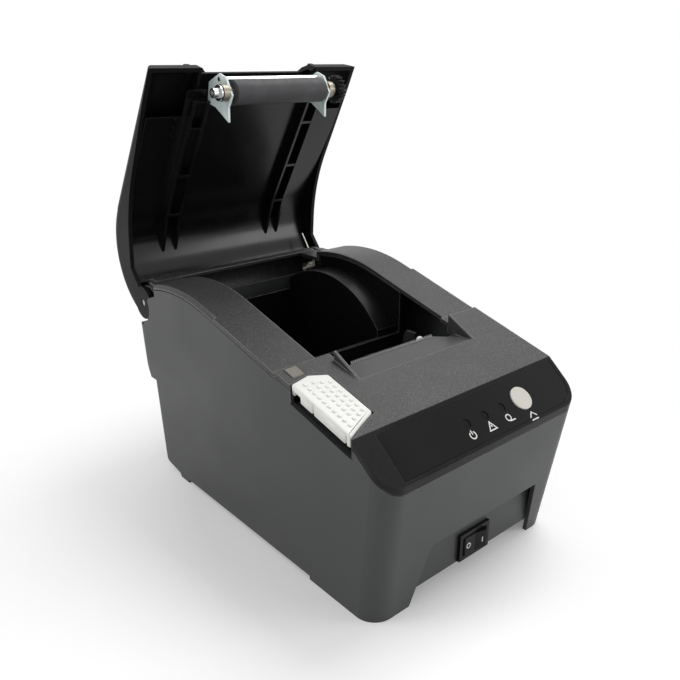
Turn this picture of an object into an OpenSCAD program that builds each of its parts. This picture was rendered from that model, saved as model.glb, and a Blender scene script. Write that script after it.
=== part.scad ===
// Clamshell receipt printer for a narrow paper roll, built at real size.
// Millimetres, +Z up, front towards -Y. The origin is the middle of the feet on the table.
// The lid is drawn closed and turned open about its hinge for the rest pose.

/* [Case] */
// Width of the case at the feet
foot_w = 130; // [110:1:160]
// Depth of the case from the front feet to the rear feet
foot_d = 170; // [140:1:200]
// Outward lean of each side wall, degrees
side_lean = 2.72; // [0:0.02:4]
// Forward lean of the front wall, degrees
front_lean = 7.65; // [0:0.05:10]
// Case wall thickness
wall = 2.6; // [2:0.1:3.5]
// Upright corner radius at the front
corner_r = 11; // [6:0.5:14]
// Upright corner radius at the rear
rear_corner_r = 7; // [4:0.5:9]
// Height of the lower case at the front
seam_z = 71.5; // [66:0.5:76]
// Width of the groove between the lower case and the cover
seam_gap = 0.5; // [0.3:0.1:0.7]
// Height of the raised bottom edge between the feet
edge_rise = 2.3; // [1.5:0.1:3.5]
// How far the back wall stands behind the rear feet
rear_out = 21.5; // [16:0.5:26]
// Extra depth of the swelling high on the back wall
bulge = 11; // [6:0.5:12]

/* [Front recess] */
// Height of the notch between the front feet
notch_h = 7.5; // [5:0.5:9]
// Height of the switch recess
alcove_h = 32; // [29:0.5:40]
// How far the recessed panel stands behind the front foot line
alcove_in = 1; // [0.5:0.1:3]

/* [Top cover] */
// Cover thickness
cover_t = 2.4; // [2:0.1:3]
// Height of the strips beside the opening, at their highest
strip_top = 125; // [121:0.5:130]
// Radius of the strips' crown
crown_r = 110; // [90:1:140]
// Place of the crown's centre behind the origin
crown_y = 63; // [55:1:72]
// Slope of the flat part of the top, degrees
top_slope = 15.1; // [11:0.1:18]
// Height step from the strips up to the front part of the cover
front_step = 1.2; // [0.6:0.1:2]
// Bevel along the top edges
edge_bevel = 2; // [0.8:0.1:2.2]
// Width of the paper opening
open_w = 90; // [86:1:96]
// Front end of the paper opening
open_front = -23; // [-24:0.5:-20]
// Place of the crease between the textured top and the control band
crease_y = -74.5; // [-78:0.5:-70]
// Left end of the inlaid plate, from the middle
band_left = 57; // [50:0.5:60]
// Thickness of the inlaid plate
band_t = 1; // [0.8:0.1:1.2]
// Height of the upright lip under the control band
lip_h = 4.5; // [3:0.5:6]
// Place of the left paper fin, from the middle
left_fin_x = 38.3; // [37.8:0.1:40]
// Place of the right paper fin, from the middle
right_fin_x = 42.4; // [41.8:0.1:43]
// Height of the paper fins at the back
fin_h = 4.5; // [3:0.5:6]

/* [Lid] */
// Width of the lid
lid_w = 136; // [132:0.5:137]
// Half the distance between the two fins under the front of the lid
lid_fin_x = 41; // [40:0.5:42]
// Lid wall thickness
lid_t = 2.4; // [1.8:0.1:3]
// Radius of the long edges of the lid
lid_edge_r = 12; // [8:0.5:14]
// Radius of the round back of the lid
lid_back_r = 46.5; // [44:0.5:48]
// Hinge line behind the origin
hinge_y = 108; // [106:0.5:110]
// Hinge line height
hinge_z = 106.5; // [105:0.5:108]
// Angle through which the lid opens
open_deg = 76; // [60:1:78]
// Radius of the round ends of the lid arms
lobe_r = 9.6; // [8:0.1:10]
// Gap between the closed lid's rim and the strips
rim_gap = 1; // [0.6:0.1:2]

/* [Platen] */
// Rubber length, the width of the paper
rubber_l = 58; // [56:0.5:60]
// Rubber radius
rubber_r = 6.3; // [5:0.1:6.5]
// Shaft radius
shaft_r = 2.5; // [2:0.1:3]
// Platen line behind the origin, lid closed
platen_y = -15; // [-16:0.5:-14]
// Platen line height, lid closed
platen_z = 91; // [90:0.5:92]

/* [Mechanism] */
// Gear tooth module
gear_m = 0.8; // [0.8:0.01:0.8]
// Half the distance between the outer faces of the mechanism side plates
mech_x = 36.4; // [36:0.2:38]
// Gear face width
gear_w = 4; // [3:0.5:4.5]
// Travel of the release button
release_travel = 3; // [2:0.25:3.2]
// Turn of the latch lever at full button travel, degrees
latch_deg = 8; // [4:1:8]
// Feed button radius
feed_r = 6.1; // [5:0.1:7]
// Travel of the feed button
feed_travel = 0.8; // [0.4:0.1:0.8]
// Turn of the power rocker, degrees
rocker_deg = 14; // [8:1:16]

/* [Paper bin] */
// Inner radius of the paper trough
bin_r = 42; // [36:0.5:43]
// Trough centre behind the origin
bin_y = 56; // [52:0.5:56]
// Trough centre height
bin_z = 76; // [74:0.5:80]
// Inner face of the right paper guard
guard_x = 30; // [29.5:0.5:32]
// Radius of the guard's round top
guard_r = 61; // [56:0.5:62]

/* [Hidden] */
$fn = 48;
eps = 0.01;
gap = 0.3;
fit = 0.05;
round_over = 0.05;

front_y = -foot_d / 2;
foot_y = foot_d / 2;
back_y = foot_y + rear_out;
side_k = tan(side_lean);
front_k = tan(front_lean);
slope_k = tan(top_slope);
crown_z = strip_top - crown_r;
crown_front_y = crown_y - crown_r * sin(top_slope);
crown_front_z = crown_z + crown_r * cos(top_slope);
strip_end_y = 88;
top_w = foot_w + 2 * side_k * strip_top;
hinge_clear_r = lobe_r + 1.2;
arm_x = lid_w / 2 - 4;
left_x = -foot_w / 2;
barrel_r = 12.5;
button_front_y = -75;
button_rear_y = -33.7;
recess_drop = 9.2;
lid_slope = 20.6;
lid_center_y = 78;
lid_center_z = 104.2;
lid_front_y = open_front;
lid_inner_x = lid_w / 2 - lid_t;
alcove_y = front_y + alcove_in;
band_top_z = front_z(crease_y);
lip_z = seam_z + lip_h;
lip_y = front_y - lip_z * front_k;
band_deg = atan((band_top_z - lip_z) / (crease_y - lip_y));
switch_x = 3;
switch_z = 15.5;
feed_x = 31.5;
feed_s = 13;
led_x = 3.8;
led_pitch = 12.6;
led_s = 13;
idler_r = 10 * gear_m;
pinion_r = 5 * gear_m;
platen_gear_r = 8.5 * gear_m;
gear_x = 38;
rod_y = platen_y - 5;
ramp_y = -45;
ramp_z = front_z(ramp_y);
tear_t = 0.8;
tear_y = -28.9;
rod_z = platen_z + 6.6;
idler_y = platen_y - 2.5;
idler_z = platen_z - sqrt(pow(platen_gear_r + idler_r + 2 * gear_m + 0.4, 2) - 6.25);
pinion_deg = 203.6;
pinion_y = idler_y + (idler_r + pinion_r) * cos(pinion_deg);
pinion_z = idler_z + (idler_r + pinion_r) * sin(pinion_deg);
latch_y = -30;
latch_z = 80;
plate_top = 7.4;
board_z = 12;

function strip_z(y) = y < crown_front_y ? crown_front_z + (y - crown_front_y) * slope_k
    : crown_z + sqrt(crown_r * crown_r - pow(y - crown_y, 2));
function band_z(y) = lip_z + (y - lip_y) * tan(band_deg);
function front_z(y) = crown_front_z + (y - crown_front_y) * slope_k + front_step;

// Side view drawn in (Y, Z) and drawn out along X from x0 to x1
module along_x(x0, x1) {
    translate([x0, 0, 0]) rotate([90, 0, 90]) linear_extrude(x1 - x0) children();
}

// Front view drawn in (X, Z) and drawn out along Y from y0 to y1
module along_y(y0, y1) {
    translate([0, y1, 0]) rotate([90, 0, 0]) linear_extrude(y1 - y0) children();
}

module both_sides() {
    children();
    mirror([1, 0, 0]) children();
}

module rod_x(y, z, r, x0, x1) {
    translate([x0, y, z]) rotate([0, 90, 0]) cylinder(r = r, h = x1 - x0);
}

module block(x0, x1, y0, y1, z0, z1) {
    translate([x0, y0, z0]) cube([x1 - x0, y1 - y0, z1 - z0]);
}

// Front view of the case, leaning outwards, set in by t
module case_front_2d(t) {
    half = foot_w / 2 - t;
    top = 140;
    polygon([[-half + side_k * 2, -2], [half - side_k * 2, -2],
        [half + side_k * top, top], [-half - side_k * top, top]]);
}

// What rounds one leaning upright corner, its corner point at the origin
module corner_cutter(r) {
    difference() {
        translate([-6, -6, -6]) cube([6 + r, 6 + r, 150]);
        translate([r, r, -7]) cylinder(r = r + round_over, h = 152);
    }
}

module front_corners(t, r) {
    both_sides() translate([-foot_w / 2 + t, front_y + t, 0])
        rotate([0, -side_lean, 0]) rotate([front_lean, 0, 0]) corner_cutter(r);
}

// Rounds the rear corners, both of the plain wall and of its swelling
module rear_corners(t, r) {
    both_sides() {
        intersection() {
            translate([-foot_w / 2 + t, back_y - t, 0])
                rotate([0, -side_lean, 0]) mirror([0, 1, 0]) corner_cutter(r);
            block(-90, 0, 0, 160, -10, 60);
        }
        translate([-foot_w / 2 + t, back_y + bulge - t, 0])
            rotate([0, -side_lean, 0]) mirror([0, 1, 0]) corner_cutter(r + 3);
    }
}

// Side view of the lower case below its seam, set in by t
module case_side_2d(t) {
    rear_r = 12;
    front_top = 130;
    difference() {
        union() {
            polygon([[front_y + t, -t], [front_y + t - front_k * front_top, front_top],
                [back_y - t, front_top], [back_y - t, 16], [back_y - rear_r, 4 + t * 0.5],
                [foot_y + 1, edge_rise + t * 0.5], [foot_y, -t]]);
            translate([back_y - rear_r, 16]) circle(r = rear_r - t);
            polygon([[back_y - t - 4, 58], [back_y - t, 58], [back_y - t + 1.5, 62.5],
                [back_y - t + bulge - 2, 77.5], [back_y - t + bulge, 84],
                [back_y - t + bulge, 91.4], [back_y - t + bulge - 4.2, 93.5],
                [back_y - t - 4, 93.5]]);
        }
    }
}

// Everything above the seam between lower case and cover, in side view
module above_seam_2d() {
    drop = cover_t;
    low = 3.3;
    polygon([[-120, seam_z], [lip_y + 0.4, seam_z], [lip_y + 4, band_z(lip_y + 4) - low],
        [button_front_y - 1.5, band_z(button_front_y - 1.5) - low],
        [button_front_y, front_z(button_front_y) - low - 1], [button_front_y, front_z(button_front_y) - recess_drop],
        [button_rear_y, front_z(button_rear_y) - recess_drop],
        [button_rear_y, front_z(button_rear_y) - drop], [open_front, front_z(open_front) - drop],
        [open_front, strip_z(open_front) - drop], [crown_front_y, crown_front_z - drop],
        [crown_front_y, 160], [-120, 160]]);
    difference() {
        translate([crown_front_y, 60]) square([strip_end_y - crown_front_y, 100]);
        translate([crown_y, crown_z]) circle(r = crown_r - drop);
    }
    polygon([[strip_end_y, 118.4 - drop], [strip_end_y, 160], [140, 160], [140, 93.5], [118, 93.5],
        [101, 108], [96, 113]]);
}

module alcove_2d() {
    half = 41;
    polygon([[switch_x - half - 4.3, -1], [switch_x - half + 5, alcove_h],
        [switch_x + half + 2, alcove_h], [switch_x + half + 4.5, -1]]);
}

module lower_case() {
    color([0.14, 0.14, 0.15]) difference() {
        union() {
            difference() {
                intersection() {
                    along_x(-90, 90) difference() {
                        case_side_2d(0);
                        translate([0, -seam_gap]) above_seam_2d();
                    }
                    along_y(-120, 130) case_front_2d(0);
                }
                difference() {
                    intersection() {
                        along_x(-90, 90) case_side_2d(wall);
                        along_y(-120, 130) case_front_2d(wall);
                    }
                    front_corners(wall, corner_r - wall);
                    rear_corners(wall, rear_corner_r - wall);
                }
                front_corners(0, corner_r);
                rear_corners(0, rear_corner_r);
                block(-55, 55, front_y + 3, foot_y + 15, -2, wall + 5);
            }
            intersection() {
                union() {
                    block(-46, 54, alcove_y, alcove_y + wall, notch_h, alcove_h + 3);
                    block(-46, 54, front_y - 6, alcove_y + wall, alcove_h, alcove_h + 3);
                }
                along_y(-120, 130) case_front_2d(1);
                along_x(-90, 90) polygon([[front_y + 0.5, 0], [front_y + 0.5 - front_k * 60, 60],
                    [-60, 60], [-60, 0]]);
            }
            both_sides() for (y = [front_y + 14, foot_y - 9])
                translate([foot_w / 2 - 9, y, plate_top]) cylinder(r = 4, h = 30);
            intersection() {
                both_sides() for (y = [front_y + 14, foot_y - 9])
                    block(foot_w / 2 - 9, foot_w / 2 + 2, y - 1, y + 1, plate_top, plate_top + 30);
                along_y(-120, 130) case_front_2d(1);
            }
        }
        along_y(front_y - 20, alcove_y) alcove_2d();
        intersection() {
            along_y(front_y - 20, front_y + 20) alcove_2d();
            block(-80, 80, front_y - 20, front_y + 20, -2, notch_h);
        }
        block(-80, 80, front_y + 45, foot_y - 9, -2, edge_rise);
        block(switch_x - 9.9, switch_x + 9.9, alcove_y - 3, alcove_y + 6, switch_z - 6.7, switch_z + 6.7);
        block(-44, 22, back_y - 6, back_y + 4, 13, 36);
        both_sides() {
            rod_x(hinge_y, hinge_z, hinge_clear_r, arm_x, top_w);
            along_x(arm_x, top_w) polygon([[hinge_y, hinge_z], [hinge_y + 20, hinge_z - 20 * tan(52)],
                [hinge_y + 30, hinge_z + 20], [hinge_y, hinge_z + 20]]);
            for (y = [front_y + 14, foot_y - 9])
                translate([foot_w / 2 - 9, y, plate_top - 1]) cylinder(r = 1.55, h = 16);
        }
    }
}

module base_plate() {
    color([0.10, 0.10, 0.11]) {
        difference() {
            block(-foot_w / 2 + wall + 0.6, foot_w / 2 - wall - 0.6, front_y + 5, foot_y + 1,
                plate_top - 2.4, plate_top);
            both_sides() for (y = [front_y + 14, foot_y - 9])
                translate([foot_w / 2 - 9, y, 0]) cylinder(r = 1.9, h = 20);
            for (i = [0:6]) block(-30, 30, 12 + i * 9, 16 + i * 9, 0, 20);
            both_sides() translate([foot_w / 2 - wall - 0.6, front_y + 5, 0]) rotate(45)
                cube([5.8, 5.8, 40], center = true);
        }
        for (x = [-45, 45], y = [8, 80])
            translate([x, y, plate_top - eps]) cylinder(r = 3, h = board_z - plate_top + eps);
    }
}

module rubber_feet() {
    color([0.06, 0.06, 0.06]) {
        both_sides() for (y = [front_y + 26, foot_y - 20])
            translate([foot_w / 2 - 12, y, 0]) cylinder(r = 6, h = plate_top - 2.4);
        cylinder(r = 6, h = plate_top - 2.4);
    }
}

module base_screws() {
    color([0.7, 0.7, 0.72]) both_sides() for (y = [front_y + 14, foot_y - 9])
        translate([foot_w / 2 - 9, y, plate_top - 4.2]) {
            cylinder(r = 3, h = 1.8);
            translate([0, 0, 1.8 - eps]) cylinder(r = 1.5, h = 14);
        }
}

// Side view of the cover's outer surface, set down by t
module cover_side_2d(t) {
    intersection() {
        union() {
            polygon([[-60, 40], [-60, front_z(-60) - t], [open_front, front_z(open_front) - t],
                [open_front, 40]]);
            polygon([[lip_y + t + front_k * 40, 40], [lip_y + t, lip_z - t * 0.3],
                [crease_y + t * 0.4, band_top_z - t], [-59, front_z(-59) - t], [-59, 40]]);
            polygon([[open_front - 1, 40], [open_front - 1, strip_z(open_front - 1) - t],
                [crown_front_y, crown_front_z - t], [crown_front_y, 40]]);
            intersection() {
                translate([crown_y, crown_z]) circle(r = crown_r - t);
                translate([crown_front_y - 1, 40]) square([strip_end_y - crown_front_y + 1, 120]);
            }
            translate([strip_end_y - 1, 60]) square([14, 58.4 - t]);
        }
        translate([-130, 40]) square([260, 130]);
    }
}

// Bevel wedges along the straight and the round parts of the top edge, right side
module edge_bevels() {
    half = top_w / 2;
    both_sides() {
        translate([half - 0.3, crown_front_y, crown_front_z + front_step]) rotate([top_slope, 0, 0])
            rotate([0, 45, 0]) cube([2 * edge_bevel, 300, 2 * edge_bevel], center = true);
        translate([0, crown_y, crown_z]) rotate([0, 90, 0]) rotate_extrude(angle = 360)
            polygon([[crown_r - edge_bevel, half], [crown_r, half - edge_bevel],
                [crown_r + 4, half - edge_bevel], [crown_r + 4, half + 4], [crown_r - edge_bevel, half + 4]]);
    }
}

module button_plan_2d(grow) {
    translate([left_x, 0]) polygon([[-15, -34.6 + grow], [-4.5, -34.6 + grow], [6.4, -32.2 + grow],
        [16 + grow, -36 + grow], [16.4 + grow, -36.6], [16.4 + grow, -65.5 - grow * 0.6],
        [6, -69.6 - grow], [-4.5, -74.3 - grow], [-15, -74.3 - grow]]);
}

// Frame on the control band: X across, Y up the slope from the lip, Z outwards
module on_band(x, s) {
    translate([x, lip_y, lip_z]) rotate([band_deg, 0, 0]) translate([0, s, 0]) children();
}

module led_places() {
    for (i = [-1:1]) on_band(led_x + i * led_pitch, led_s) children();
}

module top_cover() {
    color([0.17, 0.17, 0.18]) {
        difference() {
            intersection() {
                along_x(-90, 90) difference() {
                    intersection() {
                        cover_side_2d(0);
                        above_seam_2d();
                    }
                }
                along_y(-120, 130) case_front_2d(0);
            }
            difference() {
                intersection() {
                    along_x(-90, 90) cover_side_2d(cover_t);
                    along_y(-120, 130) case_front_2d(wall);
                }
                front_corners(wall, corner_r - wall);
            }
            front_corners(0, corner_r);
            intersection() {
                edge_bevels();
                block(-90, 90, crown_front_y - 8, 130, 60, 200);
            }
            block(-open_w / 2, open_w / 2, open_front, 110, 60, 160);
            both_sides() block(arm_x + 0.4, top_w, strip_end_y, 130, 90, 130);
            block(-33, 33, -28.5, open_front + 1, 60, 160);
            along_x(-left_fin_x + 0.7, right_fin_x - 0.7) polygon([[ramp_y, ramp_z - tear_t],
                [ramp_y, 130], [-20, 130], [-20, ramp_z - tear_t]]);
            translate([0, 0, 60]) linear_extrude(80) button_plan_2d(0.4);
            on_band(feed_x, feed_s) translate([0, 0, -10]) cylinder(r = feed_r + 0.35, h = 20);
            led_places() translate([0, 0, -10]) cylinder(r = 2.3, h = 20);
            band_inlay(band_t, 0);
            spring_slot();
        }
        along_x(-left_fin_x, right_fin_x) polygon([[ramp_y - 0.5, ramp_z - cover_t],
            [ramp_y - 0.5, ramp_z - tear_t - 0.05], [-33, ramp_z - tear_t - 0.05], [-33, ramp_z - cover_t]]);
        for (x = [-20, 40.8]) on_band(x, led_s) translate([0, 0, -11]) cylinder(r = 1.5, h = 9.2);
        for (x = [-left_fin_x, right_fin_x]) along_x(x - 0.7, x + 0.7) polygon([
            [ramp_y - 1.2, front_z(ramp_y) - 1.5], [ramp_y - 1.2, front_z(ramp_y - 1.2)],
            [-28, front_z(-28) + fin_h], [-28, front_z(-28) - 6]]);
        hinge_barrel();
    }
}

module hinge_barrel() {
    difference() {
        union() {
            along_x(-arm_x + 3.5, arm_x - 3.5) difference() {
                translate([hinge_y, hinge_z]) circle(r = barrel_r);
                translate([hinge_y, hinge_z]) circle(r = barrel_r - 2);
                polygon([[hinge_y, hinge_z], [hinge_y + 30, hinge_z - 30 * tan(52)], [hinge_y, 60],
                    [70, 60], [70, 150], [hinge_y - 12, 150]]);
            }
            both_sides() for (cheek = [[arm_x - 3.5, barrel_r - 1], [arm_x, lobe_r - 0.2]])
                along_x(arm_x - 5.5, cheek[0]) intersection() {
                    translate([hinge_y, hinge_z]) circle(r = cheek[1]);
                    above_seam_2d();
                }
            both_sides() along_x(open_w / 2, arm_x) polygon([[strip_end_y - 1, 116], [strip_end_y - 1, 118.4],
                [hinge_y - 2, 118.4], [hinge_y - 4, 116]]);
            both_sides() block(open_w / 2, arm_x + 0.2, strip_end_y - 1.9, strip_end_y - 0.1, 116.4, 121);
        }
        both_sides() rod_x(hinge_y, hinge_z, 2, arm_x - 14, arm_x + 6);
        spring_slot();
    }
}

// Slot for the straight leg of the lid spring
module spring_slot() {
    block(arm_x - 7.4, arm_x - 5.5, 92.4, hinge_y + 7, 108, 125);
}

// The inlaid plate of the band, set in by t, from depth below the cover to its surface
module band_inlay(depth, t) {
    inset = 2.6 + t;
    far = 24.6 - t;
    difference() {
        intersection() {
            on_band(-band_left + t, 1.6 + t) translate([0, 0, -depth])
                cube([band_left + 80, far - 1.6, depth + (t > 0 ? -0.05 : 3)]);
            along_y(-120, 130) case_front_2d(inset);
        }
        front_corners(inset, corner_r - inset);
    }
}

module control_band() {
    color([0.03, 0.03, 0.035]) difference() {
        band_inlay(band_t - 0.05, 0.2);
        on_band(feed_x, feed_s) translate([0, 0, -10]) cylinder(r = feed_r + 0.35, h = 20);
        led_places() translate([0, 0, -10]) cylinder(r = 2.3, h = 20);
    }
}

// Smooth ramp in front of the opening, with its row of teeth
module tear_bar() {
    tooth = 1.25;
    count = 46;
    half = count * tooth / 2;
    color([0.45, 0.45, 0.47]) translate([0, 0, ramp_z - tear_t]) linear_extrude(tear_t) union() {
        polygon([[-left_fin_x + 0.9, ramp_y + 0.2], [right_fin_x - 0.9, ramp_y + 0.2],
            [right_fin_x - 0.9, ramp_y + 4], [half, tear_y], [-half, tear_y], [-left_fin_x + 0.9, -33]]);
        for (i = [0:count - 1]) translate([(i - count / 2) * tooth, tear_y - 0.1])
            polygon([[0, 0], [tooth, 0], [tooth / 2, 1.2]]);
    }
}

module edge_cap() {
    color([0.55, 0.54, 0.52]) along_x(left_x - 0.5, left_x + 6) polygon([
        [-31.2, front_z(-31.2) + 0.02], [-24, front_z(-24) + 0.02], [-24.6, front_z(-24.6) + 0.5],
        [-30.6, front_z(-30.6) + 0.5]]);
}

module trough_2d(r) {
    translate([bin_y, bin_z]) circle(r = r);
    translate([bin_y - r, bin_z]) square([2 * r, 60]);
}

module paper_bin() {
    skin = 2;
    outer_x = open_w / 2 + skin + 0.2;
    color([0.05, 0.05, 0.055]) {
        difference() {
            along_x(-outer_x, outer_x) difference() {
                trough_2d(bin_r + skin);
                trough_2d(bin_r);
                translate([-20, bin_z + 12]) square([bin_y + 20, 80]);
                translate([bin_y, bin_z + 22]) square([80, 80]);
            }
        }
        both_sides() along_x(open_w / 2 + 0.2, outer_x) difference() {
            intersection() {
                trough_2d(bin_r + skin);
                translate([-20, -20]) square([strip_end_y - skin + 18, 190]);
            }
            difference() {
                translate([-60, bin_z + 15]) square([200, 100]);
                cover_side_2d(cover_t + gap);
            }
        }
    }
}

module roll_guard() {
    rim = open_w / 2 - guard_x - 0.4;
    guard_y = 63;
    guard_z = 55.2;
    color([0.05, 0.05, 0.055]) intersection() {
        union() {
            along_x(guard_x, guard_x + 2) difference() {
                translate([guard_y, guard_z]) circle(r = guard_r);
                translate([-40, -40]) square([200, bin_z - 10 + 40]);
            }
            along_x(guard_x, guard_x + rim) difference() {
                translate([guard_y, guard_z]) circle(r = guard_r);
                translate([guard_y, guard_z]) circle(r = guard_r - 2);
                translate([-40, -40]) square([200, bin_z - 10 + 40]);
            }
            along_x(guard_x, guard_x + 2) intersection() {
                trough_2d(bin_r - gap);
                translate([-40, 0]) square([200, bin_z]);
            }
        }
        along_x(0, 60) trough_2d(bin_r - gap);
    }
}

module paper_sensor() {
    color([0.02, 0.02, 0.02]) block(-6, 6, bin_y - 3, bin_y + 5, bin_z - bin_r + 0.45, bin_z - bin_r + 3.4);
}

// Side plate with an upward slot for the platen bush
module mech_plate_2d() {
    slot = 4.8;
    difference() {
        polygon([[-34, plate_top], [-34, 92], [-26, 96], [-4, 96], [-2, 92], [-2, plate_top]]);
        translate([platen_y - 0.2, platen_z]) circle(r = slot);
        translate([platen_y - 0.2 - slot, platen_z]) square([2 * slot, 20]);
        translate([idler_y, idler_z]) circle(r = 1.55);
        translate([pinion_y, pinion_z]) circle(r = 3);
        translate([latch_y, latch_z]) circle(r = 1.5);
    }
}

module mech_frame() {
    color([0.09, 0.09, 0.10]) {
        both_sides() along_x(mech_x - 2, mech_x) mech_plate_2d();
        block(-mech_x + 1.9, 10, -34, -31.5, 58, 92);
        block(9, mech_x - 1.9, -34, -31.5, 83, 92);
        block(-mech_x + 1.9, mech_x - 1.9, -10, -2, 52, 54);
    }
}

module heat_sink() {
    color([0.6, 0.6, 0.62]) difference() {
        block(-31, 31, -27, -23.5, 81.6, 93);
        for (i = [0:8]) block(-28.6 + i * 6.6, -24.2 + i * 6.6, -28, -25.2, 81, 85);
    }
}

module print_head() {
    color([0.35, 0.3, 0.25]) {
        block(-31, 31, -23.5, -22.5, 81.6, 93.4);
        block(-30, 30, -22.5 - eps, -21.9, 89, 93.2);
    }
}

module head_springs() {
    color([0.75, 0.75, 0.78]) for (x = [-18, 18]) translate([x, -27, 87.5]) rotate([90, 0, 0])
        difference() {
            cylinder(r = 2.6, h = 4.5);
            translate([0, 0, -1]) cylinder(r = 1.9, h = 7);
        }
}

module stepper_motor() {
    can_r = 11;
    color([0.62, 0.63, 0.65]) {
        rod_x(pinion_y, pinion_z, can_r, 12, 32.8);
        difference() {
            along_x(32.8 - eps, 33.9) union() {
                translate([pinion_y, pinion_z]) circle(r = can_r);
                translate([pinion_y - 15, pinion_z - 3.5]) square([30, 7]);
            }
            for (s = [-1, 1]) rod_x(pinion_y + s * 13, pinion_z, 1.2, 30, 36);
        }
    }
}

// Spur gear in the Y-Z plane; a tooth is centred at angle turn
module spur_2d(teeth, turn) {
    pitch = teeth * gear_m / 2;
    root = pitch - 1.15 * gear_m;
    tip = pitch + gear_m * 0.9;
    rotate(turn) {
        circle(r = root);
        for (i = [0:teeth - 1]) rotate(i * 360 / teeth)
            polygon([[root - 0.3, -0.85 * gear_m], [pitch, -0.66 * gear_m], [tip, -0.26 * gear_m],
                [tip, 0.26 * gear_m], [pitch, 0.66 * gear_m], [root - 0.3, 0.85 * gear_m]]);
    }
}

module motor_pinion() {
    color([0.8, 0.66, 0.3]) {
        along_x(gear_x, gear_x + gear_w) translate([pinion_y, pinion_z])
            spur_2d(10, pinion_deg + 180 + 18);
        rod_x(pinion_y, pinion_z, 1, 34.2, gear_x + 0.1);
    }
}

module idler_gear() {
    color([0.86, 0.86, 0.82]) {
        along_x(gear_x, gear_x + gear_w) translate([idler_y, idler_z]) spur_2d(20, pinion_deg);
        rod_x(idler_y, idler_z, 1.5, mech_x - 2.2, gear_x + 0.1);
    }
}

module release_button() {
    lift = 0.8;
    depth = 5.5;
    color([0.93, 0.93, 0.9]) {
        difference() {
            intersection() {
                along_x(-top_w, left_x + 25) polygon([[-80, front_z(-80) - depth], [-80, front_z(-80) + lift],
                    [-30, front_z(-30) + lift], [-30, front_z(-30) - depth]]);
                translate([0, 0, 60]) linear_extrude(80) button_plan_2d(0);
                along_y(-120, 130) case_front_2d(0);
            }
            intersection() {
                along_x(left_x - 3, left_x + 14.6) polygon([[-67, front_z(-67) - depth - 1], [-67, front_z(-67) - 1.2],
                    [-38, front_z(-38) - 1.2], [-38, front_z(-38) - depth - 1]]);
                along_y(-120, 130) case_front_2d(1.8);
            }
        }
        block(left_x + 9, left_x + 12, -53, -50, latch_z + 1.9, front_z(-53) - 1);
        translate([left_x + 4.5, -44, front_z(-44) - 7]) cylinder(r = 1.6, h = 6.5);
    }
}

module release_spring() {
    color([0.75, 0.75, 0.78]) translate([left_x + 4.5, -44, front_z(-44) - recess_drop - 0.5])
        difference() {
            cylinder(r = 3, h = 7.2);
            translate([0, 0, -1]) cylinder(r = 2.3, h = 9);
        }
}

module button_tray() {
    skin = 1.5;
    drop = recess_drop + 0.5;
    seat_z = front_z(-44) - drop;
    color([0.03, 0.03, 0.03]) difference() {
        union() {
            along_x(left_x - 1, left_x + 19) polygon([[-77, front_z(-77) - drop - skin],
                [-77, front_z(-77) - drop], [-34, front_z(-34) - drop], [-34, front_z(-34) - drop - skin]]);
            translate([left_x + 4.5, -44, seat_z - skin - 0.9]) cylinder(r = 4, h = skin + 0.9);
        }
        translate([left_x + 4.5, -44, seat_z]) cylinder(r = 3.4, h = 6);
        block(left_x + 7.5, left_x + 13.5, -56, -47, 60, 120);
        translate([left_x + 4.5, -44, 60]) cylinder(r = 2, h = 60);
    }
}

module latch_lever() {
    color([0.72, 0.73, 0.75]) difference() {
        union() {
            rod_x(latch_y, latch_z, 3, left_x + 8, -mech_x - 1.4);
            along_x(left_x + 8, left_x + 13) polygon([[latch_y, latch_z - 2.6], [latch_y, latch_z + 1.6],
                [latch_y - 22.5, latch_z + 1.6], [latch_y - 22.5, latch_z - 1.4]]);
            along_x(-mech_x - 3.6, -mech_x - 1.4) polygon([[latch_y - 2.6, latch_z], [latch_y + 2.6, latch_z],
                [latch_y + 5, 90], [platen_y - 4.2, 95], [platen_y - 4.2, 98], [latch_y + 3, 98],
                [latch_y - 1, 91]]);
        }
        rod_x(latch_y, latch_z, 1.5 + fit, left_x + 5, -30);
    }
}

module latch_pin() {
    color([0.8, 0.8, 0.82]) {
        rod_x(latch_y, latch_z, 1.5, left_x + 5, -mech_x + 2);
        rod_x(latch_y, latch_z, 2.6, left_x + 3.8, left_x + 5 + eps);
    }
}

module feed_button() {
    color([0.9, 0.88, 0.82]) on_band(feed_x, feed_s) {
        translate([0, 0, -3.6]) cylinder(r = feed_r, h = 4.1);
        translate([0, 0, -5]) cylinder(r = feed_r + 1.2, h = 1.4 + eps);
        translate([0, 0, -6]) cylinder(r = 1.6, h = 1.1);
    }
}

module feed_switch() {
    color([0.1, 0.1, 0.1]) on_band(feed_x, feed_s) {
        translate([-3, -3, -11]) cube([6, 6, 3]);
        translate([0, 0, -8 - eps]) cylinder(r = 1.5, h = 0.9);
    }
}

module led_pipes() {
    color([0.25, 0.25, 0.28, 0.6]) led_places() translate([0, 0, -9]) cylinder(r = 2.2, h = 8.6);
}

module control_board() {
    color([0.05, 0.25, 0.12]) on_band(9, 13) translate([-34, -9, -12.6]) cube([68, 18, 1.6]);
}

module main_board() {
    color([0.05, 0.25, 0.12]) {
        block(-50, 50, 2, 98, board_z, board_z + 1.6);
        block(-20, -6, 30, 44, board_z + 1.6 - eps, board_z + 3);
        block(10, 20, 60, 68, board_z + 1.6 - eps, board_z + 3);
        for (x = [34, 44]) translate([x, 80, board_z + 1.6 - eps]) cylinder(r = 3.5, h = 9);
    }
}

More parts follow.
